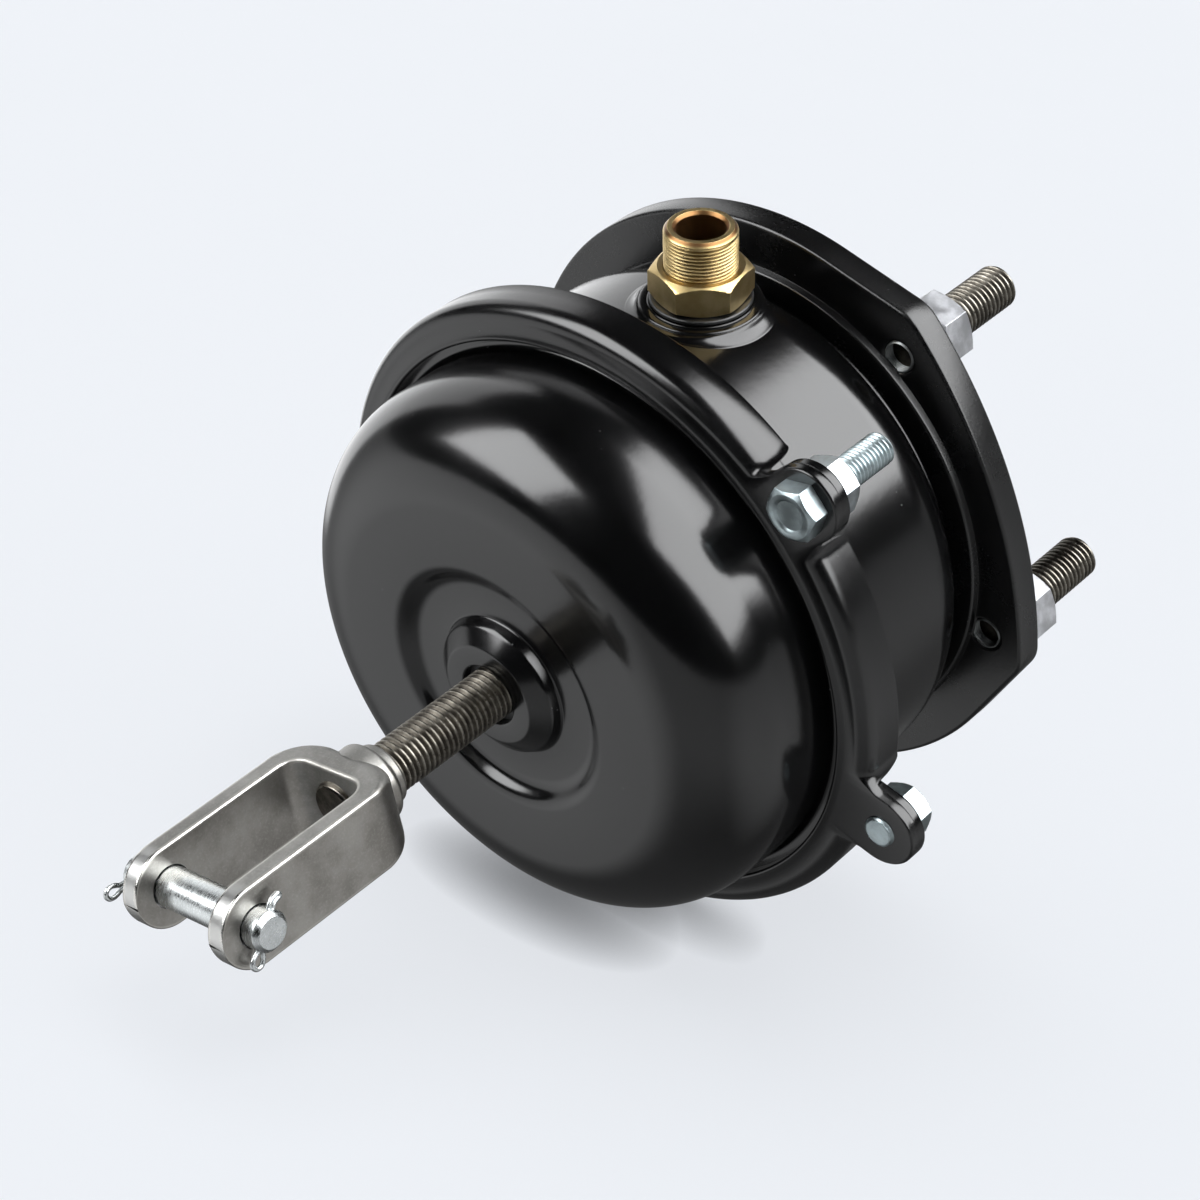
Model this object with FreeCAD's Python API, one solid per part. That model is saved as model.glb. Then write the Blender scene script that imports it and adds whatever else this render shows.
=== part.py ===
# Air brake chamber with a rear mounting plate, a diaphragm and a clevis on a threaded push rod.
# Lengths are in mm. The chamber's axis is Y and the push rod points to -Y. The air port points up, +Z.
# The origin is the centre of the mounting plate's rear face.
# A reach is a distance forward of that face, so it runs along -Y. An angle turns from +X towards +Z.
import FreeCAD, Part
import math
import os

Vector = FreeCAD.Vector
FORWARD = Vector(0, -1, 0)
UP = Vector(0, 0, 1)

# Mounting plate
plate_rim_width = 9.5
plate_thickness = 10.0
plate_edge_round = 1.0
plate_side_drop = 3.0
plate_side_angle = 23.5
plate_corner_radius = 12.0
plate_corner_inset = 7.5
plate_corner_spread = 34.9
pad_radius = 83.0
pad_height = 2.4
pad_edge = 1.0

# Mounting studs and their nuts
stud_radius = 7.0
stud_stand_off = 4.5
stud_spread = 32.0
stud_out = 41.0
stud_recess = 3.5
stud_chamfer = 1.2
stud_thread_drop = 0.65
stud_stop_radius = 5.0
thread_fit = 0.06
stud_nut_flats = 21.0
stud_nut_height = 12.5

# Rear housing, on the air side
sheet = 3.0
rear_radius = 86.5
rear_shoulder = 22.0
rear_flare = 7.0
rim_chamfer = 1.2

# Seam: the clamp ring and the rear housing's rim squeeze the front flange onto the diaphragm's bead
clamp_front = 91.4
clamp_sheet = 3.2
clamp_depth = 14.9
clamp_shoulder = 5.0
lip_clearance = 3.9
clamp_lip_height = 1.0
clamp_lip_width = 1.6
skirt_clearance = 0.8
bead_pocket_depth = 8.9
rim_wall = 3.4
bead_clearance = 0.5
bead_thickness = 4.0
bead_width = 8.9
front_flange_thickness = 3.0

# Lugs around the seam and their bolts
lug_angles = (45.3, -12.0, 196.5)
reversed_bolts = (False, True, False)
bolt_stand_off = 7.7
lug_radius = 11.5
lug_root_round = 6.0
skirt_gap = 2.6
bolt_radius = 5.0
bolt_hole_clearance = 0.4
bolt_length = 35.0
reversed_bolt_length = 9.6
bolt_head_flats = 15.0
bolt_head_height = 6.4
bolt_nut_flats = 16.0
bolt_nut_height = 8.4
washer_thickness = 2.0
washer_radius = 8.6

# Front housing, on the spring side
wall_step = 1.5
front_face = 135.0
front_shoulder = 28.0
flange_root_round = 2.0
dish_radius = 37.3
dish_depth = 4.0
dish_slope = 3.5
boss_base_radius = 22.8
boss_top_radius = 16.8
boss_height = 7.0
rod_hole_radius = 9.75

# Air port
port_reach = 40.2
collar_radius = 18.5
collar_height = 1.1
collar_root = 4.0
collar_weld = 2.4
boss_radius = 16.0
boss_stand = 1.4
boss_fit = 0.05
seal_radius = 15.4
seal_thickness = 1.5
fitting_flats = 27.0
fitting_turn = 42.0
fitting_hex_height = 10.0
fitting_thread_radius = 11.0
fitting_thread_length = 13.0
fitting_bore_radius = 7.4
fitting_chamfer = 1.2
fitting_root_radius = 10.2
fitting_fit = 0.05

# Diaphragm and what moves with it
diaphragm_thickness = 3.0
diaphragm_wall_clearance = 1.3
diaphragm_centre_reach = 30.0
diaphragm_round = 15.0
rest_gap = 0.3
push_plate_radius = 60.0
push_plate_thickness = 4.0
push_plate_rim = 6.0
push_plate_rim_width = 3.0
rod_radius = 8.0
rod_fit = 0.06
rod_through_clevis = 2.0
rod_nut_flats = 24.0
rod_nut_height = 10.0
guide_radius = 15.0
guide_flange_radius = 19.0
guide_flange_thickness = 3.0

# Return spring
spring_wire = 2.6
spring_rear_radius = 34.0
spring_front_radius = 50.0
spring_turns = 5.5
spring_runs_per_turn = 14
spring_wire_sides = 8

# Clevis and its pin
clevis_roll = 12.0
clevis_neck_reach = 181.0
clevis_neck_radius = 9.6
clevis_shoulder_radius = 12.4
clevis_neck_length = 7.0
clevis_bridge = 11.0
clevis_width = 42.0
clevis_gap = 30.0
clevis_gap_corner = 6.0
clevis_corner = 14.0
clevis_depth = 24.6
clevis_back_corner = 6.0
clevis_edge_round = 1.4
pin_from_bridge = 49.5
pin_radius = 6.0
pin_fit = 0.08
pin_length = 57.0
pin_shift = -1.5
pin_chamfer = 1.4
cotter_inset = 3.2
cotter_radius = 1.4
cotter_fit = 0.1
cotter_tilts = (35.0, 97.0)
cotter_stand_outs = (0.0, 2.6)
cotter_leg_above = 9.6
cotter_leg_below = 7.0
cotter_eye_radius = 1.9
cotter_eye_wire = 0.8

# Sizes and places that follow from the ones above
pad_reach = plate_thickness + pad_height
stud_circle_radius = pad_radius + stud_stand_off
plate_radius = stud_circle_radius + plate_rim_width
plate_side_reach = plate_radius - plate_side_drop
plate_corner_centre = plate_radius - plate_corner_inset
stud_screwed_radius = stud_radius - stud_thread_drop
rear_bore_radius = rear_radius - sheet
front_radius = rear_radius + wall_step
bead_pocket_radius = rear_radius + bead_pocket_depth
rim_radius = bead_pocket_radius + rim_wall
skirt_bore_radius = rim_radius + skirt_clearance
clamp_radius = skirt_bore_radius + clamp_sheet
clamp_inner_radius = front_radius + lip_clearance
bolt_circle_radius = clamp_radius + bolt_stand_off
seam_reach = clamp_front - clamp_sheet
flange_back = seam_reach - front_flange_thickness
pocket_floor = flange_back - bead_thickness
bead_radius = bead_pocket_radius - bead_clearance
dish_floor = front_face - dish_depth
boss_top = dish_floor + boss_height
boss_top_z = rear_radius + boss_stand
seal_top_z = boss_top_z + seal_thickness
hex_top_z = seal_top_z + fitting_hex_height
push_plate_reach = diaphragm_centre_reach + diaphragm_thickness + rest_gap
clevis_bridge_reach = clevis_neck_reach + clevis_neck_length
gap_reach = clevis_bridge_reach + clevis_bridge
pin_reach = gap_reach + pin_from_bridge


def at(radius, reach, angle=0.0):
    turn = math.radians(angle)
    return Vector(radius * math.cos(turn), -reach, radius * math.sin(turn))


def bend(centre, size, start, end):
    """An arc step: its middle point and its end, about a centre given as radius and reach."""
    points = []
    for angle in ((start + end) / 2, end):
        turn = math.radians(angle)
        points.append((centre[0] + size * math.cos(turn), centre[1] + size * math.sin(turn)))
    return points


def face_of(start, steps, place):
    """A flat face inside straight runs, given as points, and arcs, given as bends."""
    edges = []
    last = place(*start)
    for step in list(steps) + [start]:
        if isinstance(step, list):
            end = place(*step[1])
            edges.append(Part.Arc(last, place(*step[0]), end).toShape())
        else:
            end = place(*step)
            if end.distanceToPoint(last) < 1e-6:
                continue
            edges.append(Part.LineSegment(last, end).toShape())
        last = end
    return Part.Face(Part.Wire(edges))


def turned(start, steps):
    """A solid of revolution about the chamber's axis, from a profile of radius and reach."""
    return face_of(start, steps, at).revolve(Vector(0, 0, 0), Vector(0, 1, 0), 360)


def stand(shape, base, axis):
    """Moves a shape that was made along +Z from the origin."""
    shape.Placement = FreeCAD.Placement(base, FreeCAD.Rotation(UP, axis))
    return shape


def bar(radius, base, axis, length):
    return Part.makeCylinder(radius, length, base, axis)


def chamfered_bar(radius, base, axis, length, chamfer):
    ends = [(radius - chamfer, 0), (radius, chamfer), (radius, length - chamfer), (radius - chamfer, length)]
    points = [Vector(0, 0, 0)] + [Vector(r, 0, h) for r, h in ends] + [Vector(0, 0, length), Vector(0, 0, 0)]
    shape = Part.Face(Part.makePolygon(points)).revolve(Vector(0, 0, 0), UP, 360)
    return stand(shape, base, axis)


def hex_bar(flats, base, axis, length, turn=0.0):
    """A hexagonal bar whose corners are chamfered at both ends, as on a nut or a bolt head."""
    corner = flats / math.sqrt(3)
    chamfer = corner - 0.48 * flats
    corners = []
    for side in range(7):
        angle = math.radians(60 * side + turn)
        corners.append(Vector(corner * math.cos(angle), corner * math.sin(angle), 0))
    prism = Part.Face(Part.makePolygon(corners)).extrude(Vector(0, 0, length))
    drop = chamfer * math.tan(math.radians(30))
    rounds = [(corner - chamfer, 0), (corner, drop), (corner, length - drop), (corner - chamfer, length)]
    points = [Vector(0, 0, 0)] + [Vector(r, 0, h) for r, h in rounds] + [Vector(0, 0, length), Vector(0, 0, 0)]
    envelope = Part.Face(Part.makePolygon(points)).revolve(Vector(0, 0, 0), UP, 360)
    return stand(prism.common(envelope), base, axis)


def stud_places():
    for side in (1, -1):
        yield at(stud_circle_radius, 0, plate_side_angle + side * stud_spread)


def plate_outline():
    """A round plate with one bowed side between two rounded corners, as a face in the plane of its rear."""
    spread = math.radians(plate_corner_spread)
    along = plate_corner_centre * math.cos(spread)
    across = plate_corner_centre * math.sin(spread)
    short = plate_side_reach - plate_corner_radius
    bow_centre = (along**2 + across**2 - short**2) / (2 * (along - short))
    bow_angle = math.atan2(across, along - bow_centre)
    meet = math.acos((plate_radius - plate_corner_radius) / plate_corner_centre)
    leave = spread + meet

    def corner_point(angle, side):
        x = along + plate_corner_radius * math.cos(angle)
        z = across + plate_corner_radius * math.sin(angle)
        return (x, side * z)

    def rim_point(angle, side):
        return (plate_radius * math.cos(angle), side * plate_radius * math.sin(angle))

    middle = (bow_angle + leave) / 2
    start = corner_point(bow_angle, -1)
    steps = [
        [(plate_side_reach, 0), corner_point(bow_angle, 1)],
        [corner_point(middle, 1), corner_point(leave, 1)],
        rim_point(leave, 1),
        [(-plate_radius, 0), rim_point(leave, -1)],
        corner_point(leave, -1),
        [corner_point(middle, -1), start],
    ]
    turn = math.radians(plate_side_angle)

    def place(x, z):
        return Vector(x * math.cos(turn) - z * math.sin(turn), 0, x * math.sin(turn) + z * math.cos(turn))

    return face_of(start, steps, place)


def mounting_plate():
    plate = plate_outline().extrude(FORWARD * plate_thickness)
    rims = []
    for edge in plate.Edges:
        ends = [vertex.Point.y for vertex in edge.Vertexes]
        if max(ends) - min(ends) < 1e-6:
            rims.append(edge)
    plate = plate.makeFillet(plate_edge_round, rims)
    pad = turned(
        (0, plate_thickness),
        [
            (pad_radius, plate_thickness),
            (pad_radius, pad_reach - pad_edge),
            (pad_radius - pad_edge, pad_reach),
            (0, pad_reach),
        ],
    )
    plate = plate.fuse(pad).removeSplitter()
    for place in stud_places():
        plate = plate.cut(bar(stud_screwed_radius + thread_fit, place, FORWARD, plate_thickness - stud_recess))
        plate = plate.cut(bar(stud_stop_radius, place, FORWARD, plate_thickness))
    return plate


def mounting_studs():
    """Full thread radius beyond the nut, and the thread's middle radius where nut and plate are screwed on."""
    length = stud_out + plate_thickness - stud_recess
    studs = []
    for place in stud_places():
        stud = chamfered_bar(stud_radius, place - FORWARD * stud_out, FORWARD, length, stud_chamfer)
        nut_face = place - FORWARD * stud_nut_height
        around = bar(stud_radius * 2, nut_face, FORWARD, length)
        studs.append(stud.cut(around.cut(bar(stud_screwed_radius, nut_face, FORWARD, length))))
    return studs


def stud_nuts():
    nuts = []
    for place in stud_places():
        nut = hex_bar(stud_nut_flats, place - FORWARD * stud_nut_height, FORWARD, stud_nut_height, 8)
        nuts.append(nut.cut(bar(stud_screwed_radius + thread_fit, place - FORWARD * stud_out, FORWARD, stud_out)))
    return nuts


def lug(angle, back, front):
    """One lug: a round end about its bolt, on a neck that spreads into the ring."""
    thickness = front - back
    centre = at(bolt_circle_radius, back, angle)
    side = at(1, 0, angle + 90)
    base = at(bead_pocket_radius + bead_clearance, back, angle)
    corners = [base - side * lug_radius, base + side * lug_radius]
    corners += [centre + side * lug_radius, centre - side * lug_radius, base - side * lug_radius]
    neck = Part.Face(Part.makePolygon(corners)).extrude(FORWARD * thickness)
    end = bar(lug_radius, centre, FORWARD, thickness)
    return neck.fuse(end).removeSplitter()


def lug_roots(angle, radius, back, front):
    """The two hollow corners where a lug's neck meets the round edge of its ring."""
    thickness = front - back
    reach_out = math.sqrt((radius + lug_root_round) ** 2 - (lug_radius + lug_root_round) ** 2)
    out = at(1, 0, angle)
    pieces = []
    for way in (1, -1):
        side = at(1, 0, angle + 90) * way
        centre = out * reach_out + side * (lug_radius + lug_root_round)
        touch = centre * (radius / (radius + lug_root_round))
        deep = out * (radius - 3) + side * (lug_radius - 1)
        corners = [centre, touch, deep, centre - side * (lug_root_round + 1), centre]
        corners = [point + FORWARD * back for point in corners]
        block = Part.Face(Part.makePolygon(corners)).extrude(FORWARD * thickness)
        pieces.append(block.cut(bar(lug_root_round, centre + FORWARD * back, FORWARD, thickness)))
    return pieces


def bolt_hole(angle, back, front, clearance=bolt_hole_clearance):
    return bar(bolt_radius + clearance, at(bolt_circle_radius, back, angle), FORWARD, front - back)


def rear_housing():
    """The pressed rear shell, its rim with the bead's pocket, its lugs and the collar for the port."""
    bore_round = rear_shoulder - sheet
    middle = rear_radius - rear_shoulder
    flare_start = pocket_floor - sheet - rear_flare
    flare_end = pocket_floor - sheet
    shell = turned(
        (0, pad_reach),
        [
            (middle, pad_reach),
            bend((middle, pad_reach + rear_shoulder), rear_shoulder, -90, 0),
            (rear_radius, flare_start),
            bend((rear_radius + rear_flare, flare_start), rear_flare, 180, 90),
            (rim_radius, flare_end),
            (rim_radius, seam_reach - rim_chamfer),
            (rim_radius - rim_chamfer, seam_reach),
            (bead_pocket_radius, seam_reach),
            (bead_pocket_radius, pocket_floor),
            (rear_bore_radius, pocket_floor),
            (rear_bore_radius, pad_reach + rear_shoulder),
            bend((middle, pad_reach + rear_shoulder), bore_round, 0, -90),
            (0, pad_reach + sheet),
        ],
    )
    port = Vector(0, -port_reach, 0)
    collar_base = rear_bore_radius - collar_root
    collar = bar(collar_radius, port + UP * collar_base, UP, collar_root + sheet + collar_height)
    body = turned((0, pad_reach + rear_shoulder), [(rear_radius, pad_reach + rear_shoulder),
                                                   (rear_radius, flare_start), (0, flare_start)])
    shell = shell.fuse(collar.cut(body)).removeSplitter()
    seams = []
    for edge in shell.Edges:
        box = edge.BoundBox
        if abs(box.XLength - 2 * collar_radius) < 0.1 and box.ZLength > 0.5 and box.ZMin > rear_radius / 2:
            seams.append(edge)
    shell = shell.makeFillet(collar_weld, seams)
    shell = shell.cut(bar(boss_radius + boss_fit, port, UP, rear_radius * 2))
    rear_lug_back = seam_reach - clamp_sheet
    for angle in lug_angles:
        ear = lug(angle, rear_lug_back, seam_reach)
        inside = bar(bead_pocket_radius, Vector(0, 0, 0), FORWARD, clamp_front)
        shell = shell.fuse(ear.cut(inside))
        shell = shell.cut(bolt_hole(angle, rear_lug_back, seam_reach))
    return shell.removeSplitter()


def clamp_ring():
    """The pressed ring: a flat front with a raised lip, a rounded shoulder, and a skirt open at the lugs."""
    skirt_end = clamp_front - clamp_depth
    lip_top = clamp_front + clamp_lip_height
    inner_bend = clamp_shoulder - clamp_sheet
    centre = (clamp_radius - clamp_shoulder, clamp_front - clamp_shoulder)
    ring = turned(
        (clamp_inner_radius, seam_reach),
        [
            (clamp_inner_radius, lip_top),
            (clamp_inner_radius + clamp_lip_width, lip_top),
            (clamp_inner_radius + clamp_lip_width + clamp_lip_height, clamp_front),
            (centre[0], clamp_front),
            bend(centre, clamp_shoulder, 90, 0),
            (clamp_radius, skirt_end),
            (skirt_bore_radius, skirt_end),
            (skirt_bore_radius, centre[1]),
            bend(centre, inner_bend, 0, 90),
        ],
    )
    gap_half = lug_radius + skirt_gap
    for angle, reverse in zip(lug_angles, reversed_bolts):
        out = at(1, 0, angle)
        side = at(1, 0, angle + 90)
        low = rim_radius - 3
        high = clamp_radius + 3
        corners = []
        for along, across in ((low, -1), (low, 1), (high, 1), (high, -1), (low, -1)):
            corners.append(out * along + side * (across * gap_half) + FORWARD * (skirt_end - 1))
        window = Part.Face(Part.makePolygon(corners)).extrude(FORWARD * (seam_reach - skirt_end + 1))
        ring = ring.cut(window)
        ear = lug(angle, seam_reach, clamp_front)
        ring = ring.fuse(ear)
        for piece in lug_roots(angle, clamp_radius - clamp_shoulder, seam_reach, clamp_front):
            ring = ring.fuse(piece)
        clearance = thread_fit if reverse else bolt_hole_clearance
        ring = ring.cut(bolt_hole(angle, seam_reach, clamp_front, clearance))
    return ring.removeSplitter()


def clamp_bolts():
    """Two bolts run rearward into nuts; the reversed one is screwed into its lug from behind."""
    bolts = []
    rear_face = seam_reach - clamp_sheet
    for angle, reverse in zip(lug_angles, reversed_bolts):
        under_head = rear_face - washer_thickness if reverse else clamp_front
        length = reversed_bolt_length if reverse else bolt_length
        axis = FORWARD if reverse else -FORWARD
        base = at(bolt_circle_radius, under_head, angle)
        head = hex_bar(bolt_head_flats, base - axis * bolt_head_height, axis, bolt_head_height, angle)
        shank = chamfered_bar(bolt_radius, base - axis * 2, axis, length + 2, 1)
        bolts.append(head.fuse(shank).removeSplitter())
    return bolts


def clamp_nuts():
    nuts = []
    rear_face = seam_reach - clamp_sheet
    for angle, reverse in zip(lug_angles, reversed_bolts):
        if reverse:
            continue
        base = at(bolt_circle_radius, rear_face - bolt_nut_height, angle)
        nut = hex_bar(bolt_nut_flats, base, FORWARD, bolt_nut_height, angle + 12)
        nuts.append(nut.cut(bar(bolt_radius + thread_fit, base, FORWARD, bolt_nut_height)))
    return nuts


def clamp_bolt_washer():
    """The washer under the one bolt head that faces rearward."""
    angle = lug_angles[reversed_bolts.index(True)]
    base = at(bolt_circle_radius, seam_reach - clamp_sheet - washer_thickness, angle)
    washer = bar(washer_radius, base, FORWARD, washer_thickness)
    return washer.cut(bar(bolt_radius + bolt_hole_clearance, base, FORWARD, washer_thickness))


def front_housing():
    """The pressed dome: flange, wall, deep rounded shoulder, dished face and raised boss round the rod."""
    wall = front_face - front_shoulder
    flat = front_radius - front_shoulder
    bore_round = front_shoulder - sheet
    return turned(
        (front_radius - sheet, flange_back),
        [
            (bead_radius, flange_back),
            (bead_radius, seam_reach),
            (front_radius + flange_root_round, seam_reach),
            bend((front_radius + flange_root_round, seam_reach + flange_root_round), flange_root_round, 270, 180),
            (front_radius, wall),
            bend((flat, wall), front_shoulder, 0, 90),
            (dish_radius + dish_slope / 2, front_face),
            (dish_radius - dish_slope / 2, dish_floor),
            (boss_base_radius, dish_floor),
            (boss_top_radius, boss_top),
            (rod_hole_radius, boss_top),
            (rod_hole_radius, boss_top - sheet),
            (guide_radius + bead_clearance, boss_top - sheet),
            (guide_radius + bead_clearance, dish_floor - sheet),
            (dish_radius, dish_floor - sheet),
            (dish_radius + dish_slope, front_face - sheet),
            (flat, front_face - sheet),
            bend((flat, wall), bore_round, 90, 0),
        ],
    )


def rod_guide():
    """The nylon guide in the boss, with a flange under the dished face."""
    top = boss_top - sheet
    flange_top = dish_floor - sheet
    flange_back_reach = flange_top - guide_flange_thickness
    return turned(
        (rod_radius + rod_fit, flange_back_reach),
        [
            (guide_flange_radius, flange_back_reach),
            (guide_flange_radius, flange_top),
            (guide_radius, flange_top),
            (guide_radius, top),
            (rod_radius + rod_fit, top),
        ],
    )


def port_boss():
    base = Vector(0, -port_reach, rear_bore_radius + 0.4)
    boss = bar(boss_radius, base, UP, boss_top_z - base.z)
    top_edges = [edge for edge in boss.Edges if edge.BoundBox.ZMin > boss_top_z - 0.01]
    boss = boss.makeChamfer(0.8, top_edges)
    return boss.cut(bar(fitting_root_radius + fitting_fit, base, UP, boss_top_z - base.z))


def port_seal():
    base = Vector(0, -port_reach, boss_top_z)
    ring = Part.makeTorus(seal_radius - seal_thickness / 2, seal_thickness / 2, base + UP * (seal_thickness / 2))
    disc = bar(seal_radius - seal_thickness / 2, base, UP, seal_thickness)
    return ring.fuse(disc).cut(bar(fitting_root_radius + fitting_fit, base, UP, seal_thickness)).removeSplitter()


def port_fitting():
    """The brass adapter: a root in the boss, a hexagon, and a male thread with a plain chamfered end."""
    root_length = boss_top_z - rear_bore_radius - 1
    base = Vector(0, -port_reach, seal_top_z)
    body = hex_bar(fitting_flats, base, UP, fitting_hex_height, fitting_turn)
    root = bar(fitting_root_radius, base - UP * (root_length + seal_thickness), UP, root_length + seal_thickness + 1)
    thread = chamfered_bar(
        fitting_thread_radius, base + UP * 1, UP, fitting_hex_height - 1 + fitting_thread_length, fitting_chamfer
    )
    body = body.fuse([root, thread]).removeSplitter()
    bore = bar(fitting_bore_radius, Vector(0, -port_reach, 0), UP, rear_radius * 2)
    return body.cut(bore)


def diaphragm():
    """The rubber cup: a bead in the rim's pocket, a rolled wall along the rear shell, and a flat centre."""
    outer = rear_bore_radius - diaphragm_wall_clearance
    inner = outer - diaphragm_thickness
    back = diaphragm_centre_reach
    front = back + diaphragm_thickness
    bead_inner = bead_radius - bead_width
    corner = (outer - diaphragm_round, back + diaphragm_round)
    inner_round = diaphragm_round - diaphragm_thickness
    return turned(
        (0, back),
        [
            (corner[0], back),
            bend(corner, diaphragm_round, -90, 0),
            (outer, pocket_floor - 1),
            (outer + 1, pocket_floor),
            (bead_radius, pocket_floor),
            (bead_radius, flange_back),
            (bead_inner, flange_back),
            (bead_inner - 2, flange_back - 1),
            (inner + 1, flange_back - 1),
            (inner, flange_back - 2),
            (inner, corner[1]),
            bend(corner, inner_round, 0, -90),
            (0, front),
        ],
    )


def push_plate():
    """The pressed plate that the diaphragm pushes, with a turned-up rim."""
    front = push_plate_reach + push_plate_thickness
    return turned(
        (rod_radius + rod_fit, push_plate_reach),
        [
            (push_plate_radius - push_plate_rim_width, push_plate_reach),
            (push_plate_radius, push_plate_reach + push_plate_rim_width),
            (push_plate_radius, front + push_plate_rim),
            (push_plate_radius - push_plate_rim_width, front + push_plate_rim),
            (push_plate_radius - push_plate_rim_width, front + push_plate_rim_width),
            (push_plate_radius - 2 * push_plate_rim_width, front),
            (rod_radius + rod_fit, front),
        ],
    )


def push_plate_nut():
    base = at(0, push_plate_reach + push_plate_thickness)
    nut = hex_bar(rod_nut_flats, base, FORWARD, rod_nut_height)
    return nut.cut(bar(rod_radius + rod_fit, base, FORWARD, rod_nut_height))


def push_rod():
    length = gap_reach + rod_through_clevis - push_plate_reach
    return chamfered_bar(rod_radius, at(0, push_plate_reach), FORWARD, length, 1)


def return_spring():
    """A cone-shaped coil between the push plate and the inside of the dome's face, lofted from short runs."""
    back = push_plate_reach + push_plate_thickness + spring_wire + rest_gap
    front = front_face - sheet - spring_wire - rest_gap
    runs = int(spring_turns * spring_runs_per_turn)
    sections = []
    for run in range(runs + 1):
        share = run / runs
        angle = 360 * spring_turns * share
        radius = spring_rear_radius + (spring_front_radius - spring_rear_radius) * share
        centre = at(radius, back + (front - back) * share, angle)
        points = []
        for side in range(spring_wire_sides + 1):
            around = 2 * math.pi * side / spring_wire_sides
            lift = at(1, 0, angle) * math.cos(around) + FORWARD * math.sin(around)
            points.append(centre + lift * spring_wire)
        sections.append(Part.makePolygon(points))
    return Part.makeLoft(sections, True, True)


def clevis():
    """The forged fork: a round neck on the rod, rounded shoulders, two arms and their eyes."""
    half = clevis_width / 2
    half_gap = clevis_gap / 2
    shoulder = (half - clevis_corner, clevis_bridge_reach + clevis_corner)
    tip = pin_reach + clevis_depth / 2
    inside = (half_gap - clevis_gap_corner, gap_reach + clevis_gap_corner)

    def fork_plane(x, reach):
        return Vector(x, -reach, -clevis_depth / 2)

    def mirrored(points):
        return [(-x, reach) for x, reach in points]

    outside_bend = bend(shoulder, clevis_corner, -90, 0)
    inside_bend = bend(inside, clevis_gap_corner, 0, -90)
    inside_start = (half_gap, inside[1])
    steps = [
        outside_bend,
        (half, tip),
        (half_gap, tip),
        inside_start,
        inside_bend,
        (-inside_bend[1][0], gap_reach),
        mirrored([inside_bend[0], inside_start]),
        (-half_gap, tip),
        (-half, tip),
        (-half, shoulder[1]),
        mirrored([outside_bend[0], (shoulder[0], clevis_bridge_reach)]),
    ]
    fork = face_of((shoulder[0], clevis_bridge_reach), steps, fork_plane).extrude(UP * clevis_depth)

    eye = clevis_depth / 2
    back = (eye - clevis_back_corner, clevis_bridge_reach + clevis_back_corner)

    def side_plane(z, reach):
        return Vector(-half, -reach, z)

    side_bend = bend(back, clevis_back_corner, -90, 0)
    side = face_of(
        (back[0], clevis_bridge_reach),
        [
            side_bend,
            (eye, pin_reach),
            [(0, tip), (-eye, pin_reach)],
            (-eye, back[1]),
            mirrored([side_bend[0], (back[0], clevis_bridge_reach)]),
        ],
        side_plane,
    ).extrude(Vector(clevis_width, 0, 0))
    fork = fork.common(side)
    rounded = []
    for edge in fork.Edges:
        box = edge.BoundBox
        flat_side = box.XLength < 0.01 and abs(abs(box.XMin) - half) < 0.01
        if flat_side and edge.Length > 1:
            rounded.append(edge)
    fork = fork.makeFillet(clevis_edge_round, rounded)
    neck = turned(
        (0, clevis_neck_reach),
        [
            (clevis_neck_radius, clevis_neck_reach),
            (clevis_neck_radius, clevis_neck_reach + clevis_neck_length / 2),
            (clevis_shoulder_radius, clevis_bridge_reach + clevis_bridge / 4),
            (0, clevis_bridge_reach + clevis_bridge / 4),
        ],
    )
    fork = fork.fuse(neck).removeSplitter()
    fork = fork.cut(bar(rod_radius + rod_fit, at(0, clevis_neck_reach - 1), FORWARD, gap_reach))
    pin_start = Vector(-clevis_width, -pin_reach, 0)
    fork = fork.cut(bar(pin_radius + pin_fit, pin_start, Vector(1, 0, 0), 2 * clevis_width))
    return rolled(fork)


def rolled(shape):
    """Turns a piece of the clevis about the rod, to where the fork stands on its thread."""
    shape.rotate(Vector(0, 0, 0), Vector(0, 1, 0), -clevis_roll)
    return shape


def cotters():
    """For the near and the far cotter pin: its place in the clevis pin, its axis and how far it stands out."""
    for side, tilt, stand_out in zip((1, -1), cotter_tilts, cotter_stand_outs):
        place = Vector(pin_shift + side * (pin_length / 2 - cotter_inset), -pin_reach, 0)
        turn = math.radians(tilt)
        yield place, Vector(0, math.sin(turn), math.cos(turn)), stand_out


def clevis_pin():
    """The headless pin, cross-drilled near both ends for its cotter pins."""
    base = Vector(pin_shift - pin_length / 2, -pin_reach, 0)
    pin = chamfered_bar(pin_radius, base, Vector(1, 0, 0), pin_length, pin_chamfer)
    for place, axis, stand_out in cotters():
        pin = pin.cut(bar(cotter_radius + cotter_fit, place - axis * pin_radius * 2, axis, pin_radius * 4))
    return rolled(pin)


def cotter_pin(place, axis, stand_out):
    """A split pin: an eye below, a straight leg through the pin, and the leg's end beyond it."""
    below = cotter_leg_below + stand_out
    leg = bar(cotter_radius, place - axis * below, axis, below + cotter_leg_above - stand_out)
    eye_centre = place - axis * (below + cotter_eye_radius)
    eye = Part.makeTorus(cotter_eye_radius, cotter_eye_wire, eye_centre, Vector(1, 0, 0))
    return rolled(leg.fuse(eye).removeSplitter())


def write(name, shape):
    solids = shape if isinstance(shape, list) else [shape]
    whole = solids[0] if len(solids) == 1 else Part.makeCompound(solids)
    whole.exportStep(os.path.join("parts", name + ".step"))
    volume = sum(solid.Volume for solid in solids)
    count = sum(len(solid.Solids) for solid in solids)
    print(name, "solids", count, "volume", round(volume), "valid", all(solid.isValid() for solid in solids))


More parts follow.
